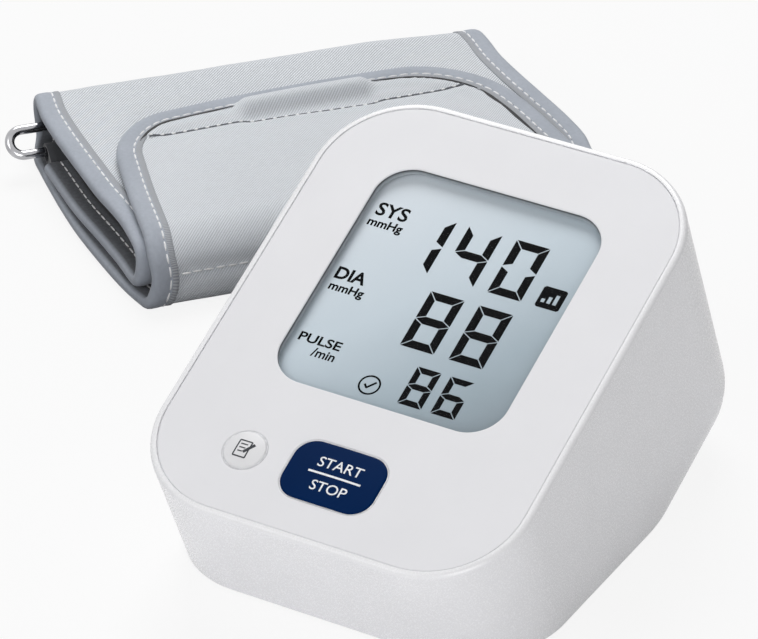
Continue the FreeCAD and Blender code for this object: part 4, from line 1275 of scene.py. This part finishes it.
def make_ring(plated):
    """Long wire ring with round ends, its bar slack in the dark tape."""
    bend = RING_DEEP / 2
    left = RING_SHIFT - RING_LEFT_OUT + RING_WIRE + bend
    right = CUFF_WIDTH + RING_SHIFT - RING_RIGHT_IN - RING_WIRE - bend
    path = []
    for middle, start, stop in ((left, 270.0, 90.0), (right, 90.0, -90.0)):
        for angle in spaced(radians(start), radians(stop), 24):
            path.append((middle + bend * cos(angle), bend + bend * sin(angle), angle))
    around = 20
    vertices = []
    for a, q, angle in path:
        for c, s in circle(around):
            out = RING_WIRE * c
            over = RING_WIRE * s
            reach = q + RING_SLACK + out * sin(angle)
            p = RING_P + reach * cos(RING_LEAN) - over * sin(RING_LEAN)
            z = RING_Z + reach * sin(RING_LEAN) + over * cos(RING_LEAN)
            vertices.append(cuff_place(a + out * cos(angle), p, z))
    faces = tube_faces(len(path), around, closed=True)
    ring = add_mesh("cuff_wire_ring", vertices, faces, [plated], "cuff_ring")
    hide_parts("cuff_ring")


# Air bag: its span along and across the folds, half height of its welded rim and what the middle adds to it.
BAG_ALONG = (12.4, 122.4)
BAG_ACROSS = (15.3, 70.6)
BAG_RIM_HALF = 0.2
BAG_CROWN = 0.42
BAG_SLOPE = (3.0, 8.0)


def make_bladder(skin):
    """Flat air bag with a welded rim, inside the inner layer."""
    along = spaced(*BAG_ALONG, 44)
    across = spaced(*BAG_ACROSS, 30)
    vertices = []
    for side in (1, -1):
        for p in across:
            for a in along:
                rim = min(a - along[0], along[-1] - a, p - across[0], across[-1] - p)
                half = BAG_RIM_HALF + BAG_CROWN * step(*BAG_SLOPE, rim)
                vertices.append(cuff_place(a, p, INNER_Z + side * half))
    faces = skin_faces(len(across), len(along))
    bladder = add_mesh("cuff_air_bag", vertices, faces, [skin], "cuff")
    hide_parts("cuff_bladder")


# Finishes of the carried-over solids.

def dress(names, material):
    for name in names.split():
        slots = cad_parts[name].data.materials
        slots.clear()
        slots.append(material)


def dress_solids():
    dress("rear_case battery_cover",
          plastic("case_white", srgb(239, 239, 241), 0.26, 0.35, 0.006, 0.02, 0.7))
    # The face plate's finish carries painted shade: a dark line and soft shade on the wall of the display's
    # window.
    dress("front_cover",
          plastic("face_grey", srgb(228, 228, 231), 0.46, 0.3, 0.008, 0.012, painted_shade_layer=window_painted_shade))
    dress("memory_button", plastic("button_white", srgb(228, 228, 230), 0.34, 0.4, 0.004, 0.02, 0.3))
    dress("start_stop_button", plastic("button_navy", srgb(1, 33, 76), 0.42, 0.35, 0.006, 0.08, 0.03))
    dress("display_lens", clear_window())
    dress("lcd_glass", lcd_panel())
    inner = plastic("inner_plastic", srgb(186, 190, 195), 0.5, 0.4, 0.012)
    dress("lcd_holder air_jack air_manifold pump_head cuff_air_port", inner)
    dress("start_switch_plunger memory_switch_plunger", inner)
    dress("lcd_connector_strips pump_cradle rubber_feet", rubber("grey_rubber", srgb(118, 121, 126)))
    dress("air_tubes", rubber("tube_silicone", srgb(206, 208, 210)))
    dress("main_board", circuit_board())
    dress("board_chips tact_switches pressure_sensor dc_jack",
          plastic("chip_black", srgb(38, 39, 42), 0.42, 0.2, 0.01, 0.08))
    dress("pump_motor", metal("motor_steel", srgb(196, 198, 202), 0.34, 0))
    dress("exhaust_valve", metal("valve_steel", srgb(188, 190, 196), 0.38, 1))
    dress("battery_springs battery_plates", metal("contact_nickel", srgb(206, 205, 200), 0.3, 2))
    dress("board_screws case_screws", metal("screw_steel", srgb(178, 180, 184), 0.32, 2, 0.3))
    for number, way in ((1, 1), (2, -1), (3, 1), (4, -1)):
        dress("battery_cell_%d" % number, cell_wrap("cell_wrap_%d" % number, way))


def make_prints():
    make_display(ink("display_black", srgb(7, 8, 10), 0.6))
    make_start_print(ink("print_white", srgb(240, 242, 246), 0.45))
    make_memory_print(ink("print_grey", srgb(74, 76, 80), 0.5))
    make_seals(rubber("seal_white", srgb(228, 228, 231)))


def make_cuff():
    make_sleeve(twill("cuff_twill", srgb(222, 226, 231), 0.7, 0.36, 0.1),
                twill("cuff_lining_and_shade", srgb(72, 75, 79)),
                twill("flap_twill", srgb(221, 225, 230), 0.6, 0.22, 0.08))
    # Dark and grey strips of painted shade for the pocket's mouths and the seam's line.
    make_slits(twill("pocket_painted_shade", srgb(26, 27, 30)), twill("seam_shade", srgb(86, 90, 96)))
    make_binding(edge_tape())
    make_stitches(thread())
    make_loop(twill("ring_tape", srgb(58, 60, 64), 0.6, 0.15, 0.06))
    make_ring(chrome())
    make_bladder(rubber("bladder_skin", srgb(70, 72, 76)))


# Stage.

def add_lamp(name, place, size, power):
    light = bpy.data.lights.new(name, "AREA")
    light.size = size
    light.energy = power
    lamp = add_object(name, light)
    lamp.location = place
    lamp.rotation_euler = (LAMP_TARGET - Vector(place)).to_track_quat("-Z", "Y").to_euler()
    lamp.visible_camera = False


def make_world():
    g = Graph("studio", True)
    light = g.node("Background", Color=WHITE, Strength=WORLD_LIGHT)
    white = g.node("Background", Color=WHITE, Strength=1.0)
    bpy.context.scene.world = g.mixed(g.backdrop_rays(), light, white)


def make_floor():
    mesh = bpy.data.meshes.new("floor")
    corners = [(x * FLOOR_HALF, y * FLOOR_HALF, 0) for x, y in ((-1, -1), (1, -1), (1, 1), (-1, 1))]
    mesh.from_pydata(corners, [], [(0, 1, 2, 3)])
    mesh.materials.append(pale_floor())
    floor = add_object("floor", mesh)


def make_camera():
    camera = bpy.data.cameras.new("camera")
    camera.sensor_fit = "HORIZONTAL"
    camera.sensor_width = SENSOR_WIDTH
    camera.lens = FOCAL_PIXELS / FRAME_WIDTH * SENSOR_WIDTH
    camera.clip_end = CAMERA_REACH
    forward = CAMERA_FORWARD.normalized()
    right = forward.cross(Vector((0.0, 0.0, 1.0))).normalized()
    up = right.cross(forward)
    rolled = right * cos(CAMERA_ROLL) + up * sin(CAMERA_ROLL)
    turn = Matrix((rolled, rolled.cross(forward), -forward)).transposed().to_4x4()
    holder = add_object("camera", camera)
    holder.matrix_world = Matrix.Translation(CAMERA_PLACE) @ turn
    bpy.context.scene.camera = holder


def make_stage():
    """Pale floor, soft lamps and the photograph's camera."""
    make_floor()
    make_world()
    for lamp in LAMPS:
        add_lamp(*lamp)
    make_camera()
    bpy.context.scene.view_settings.view_transform = "Standard"


make_stage()
dress_solids()
make_prints()
make_cuff()
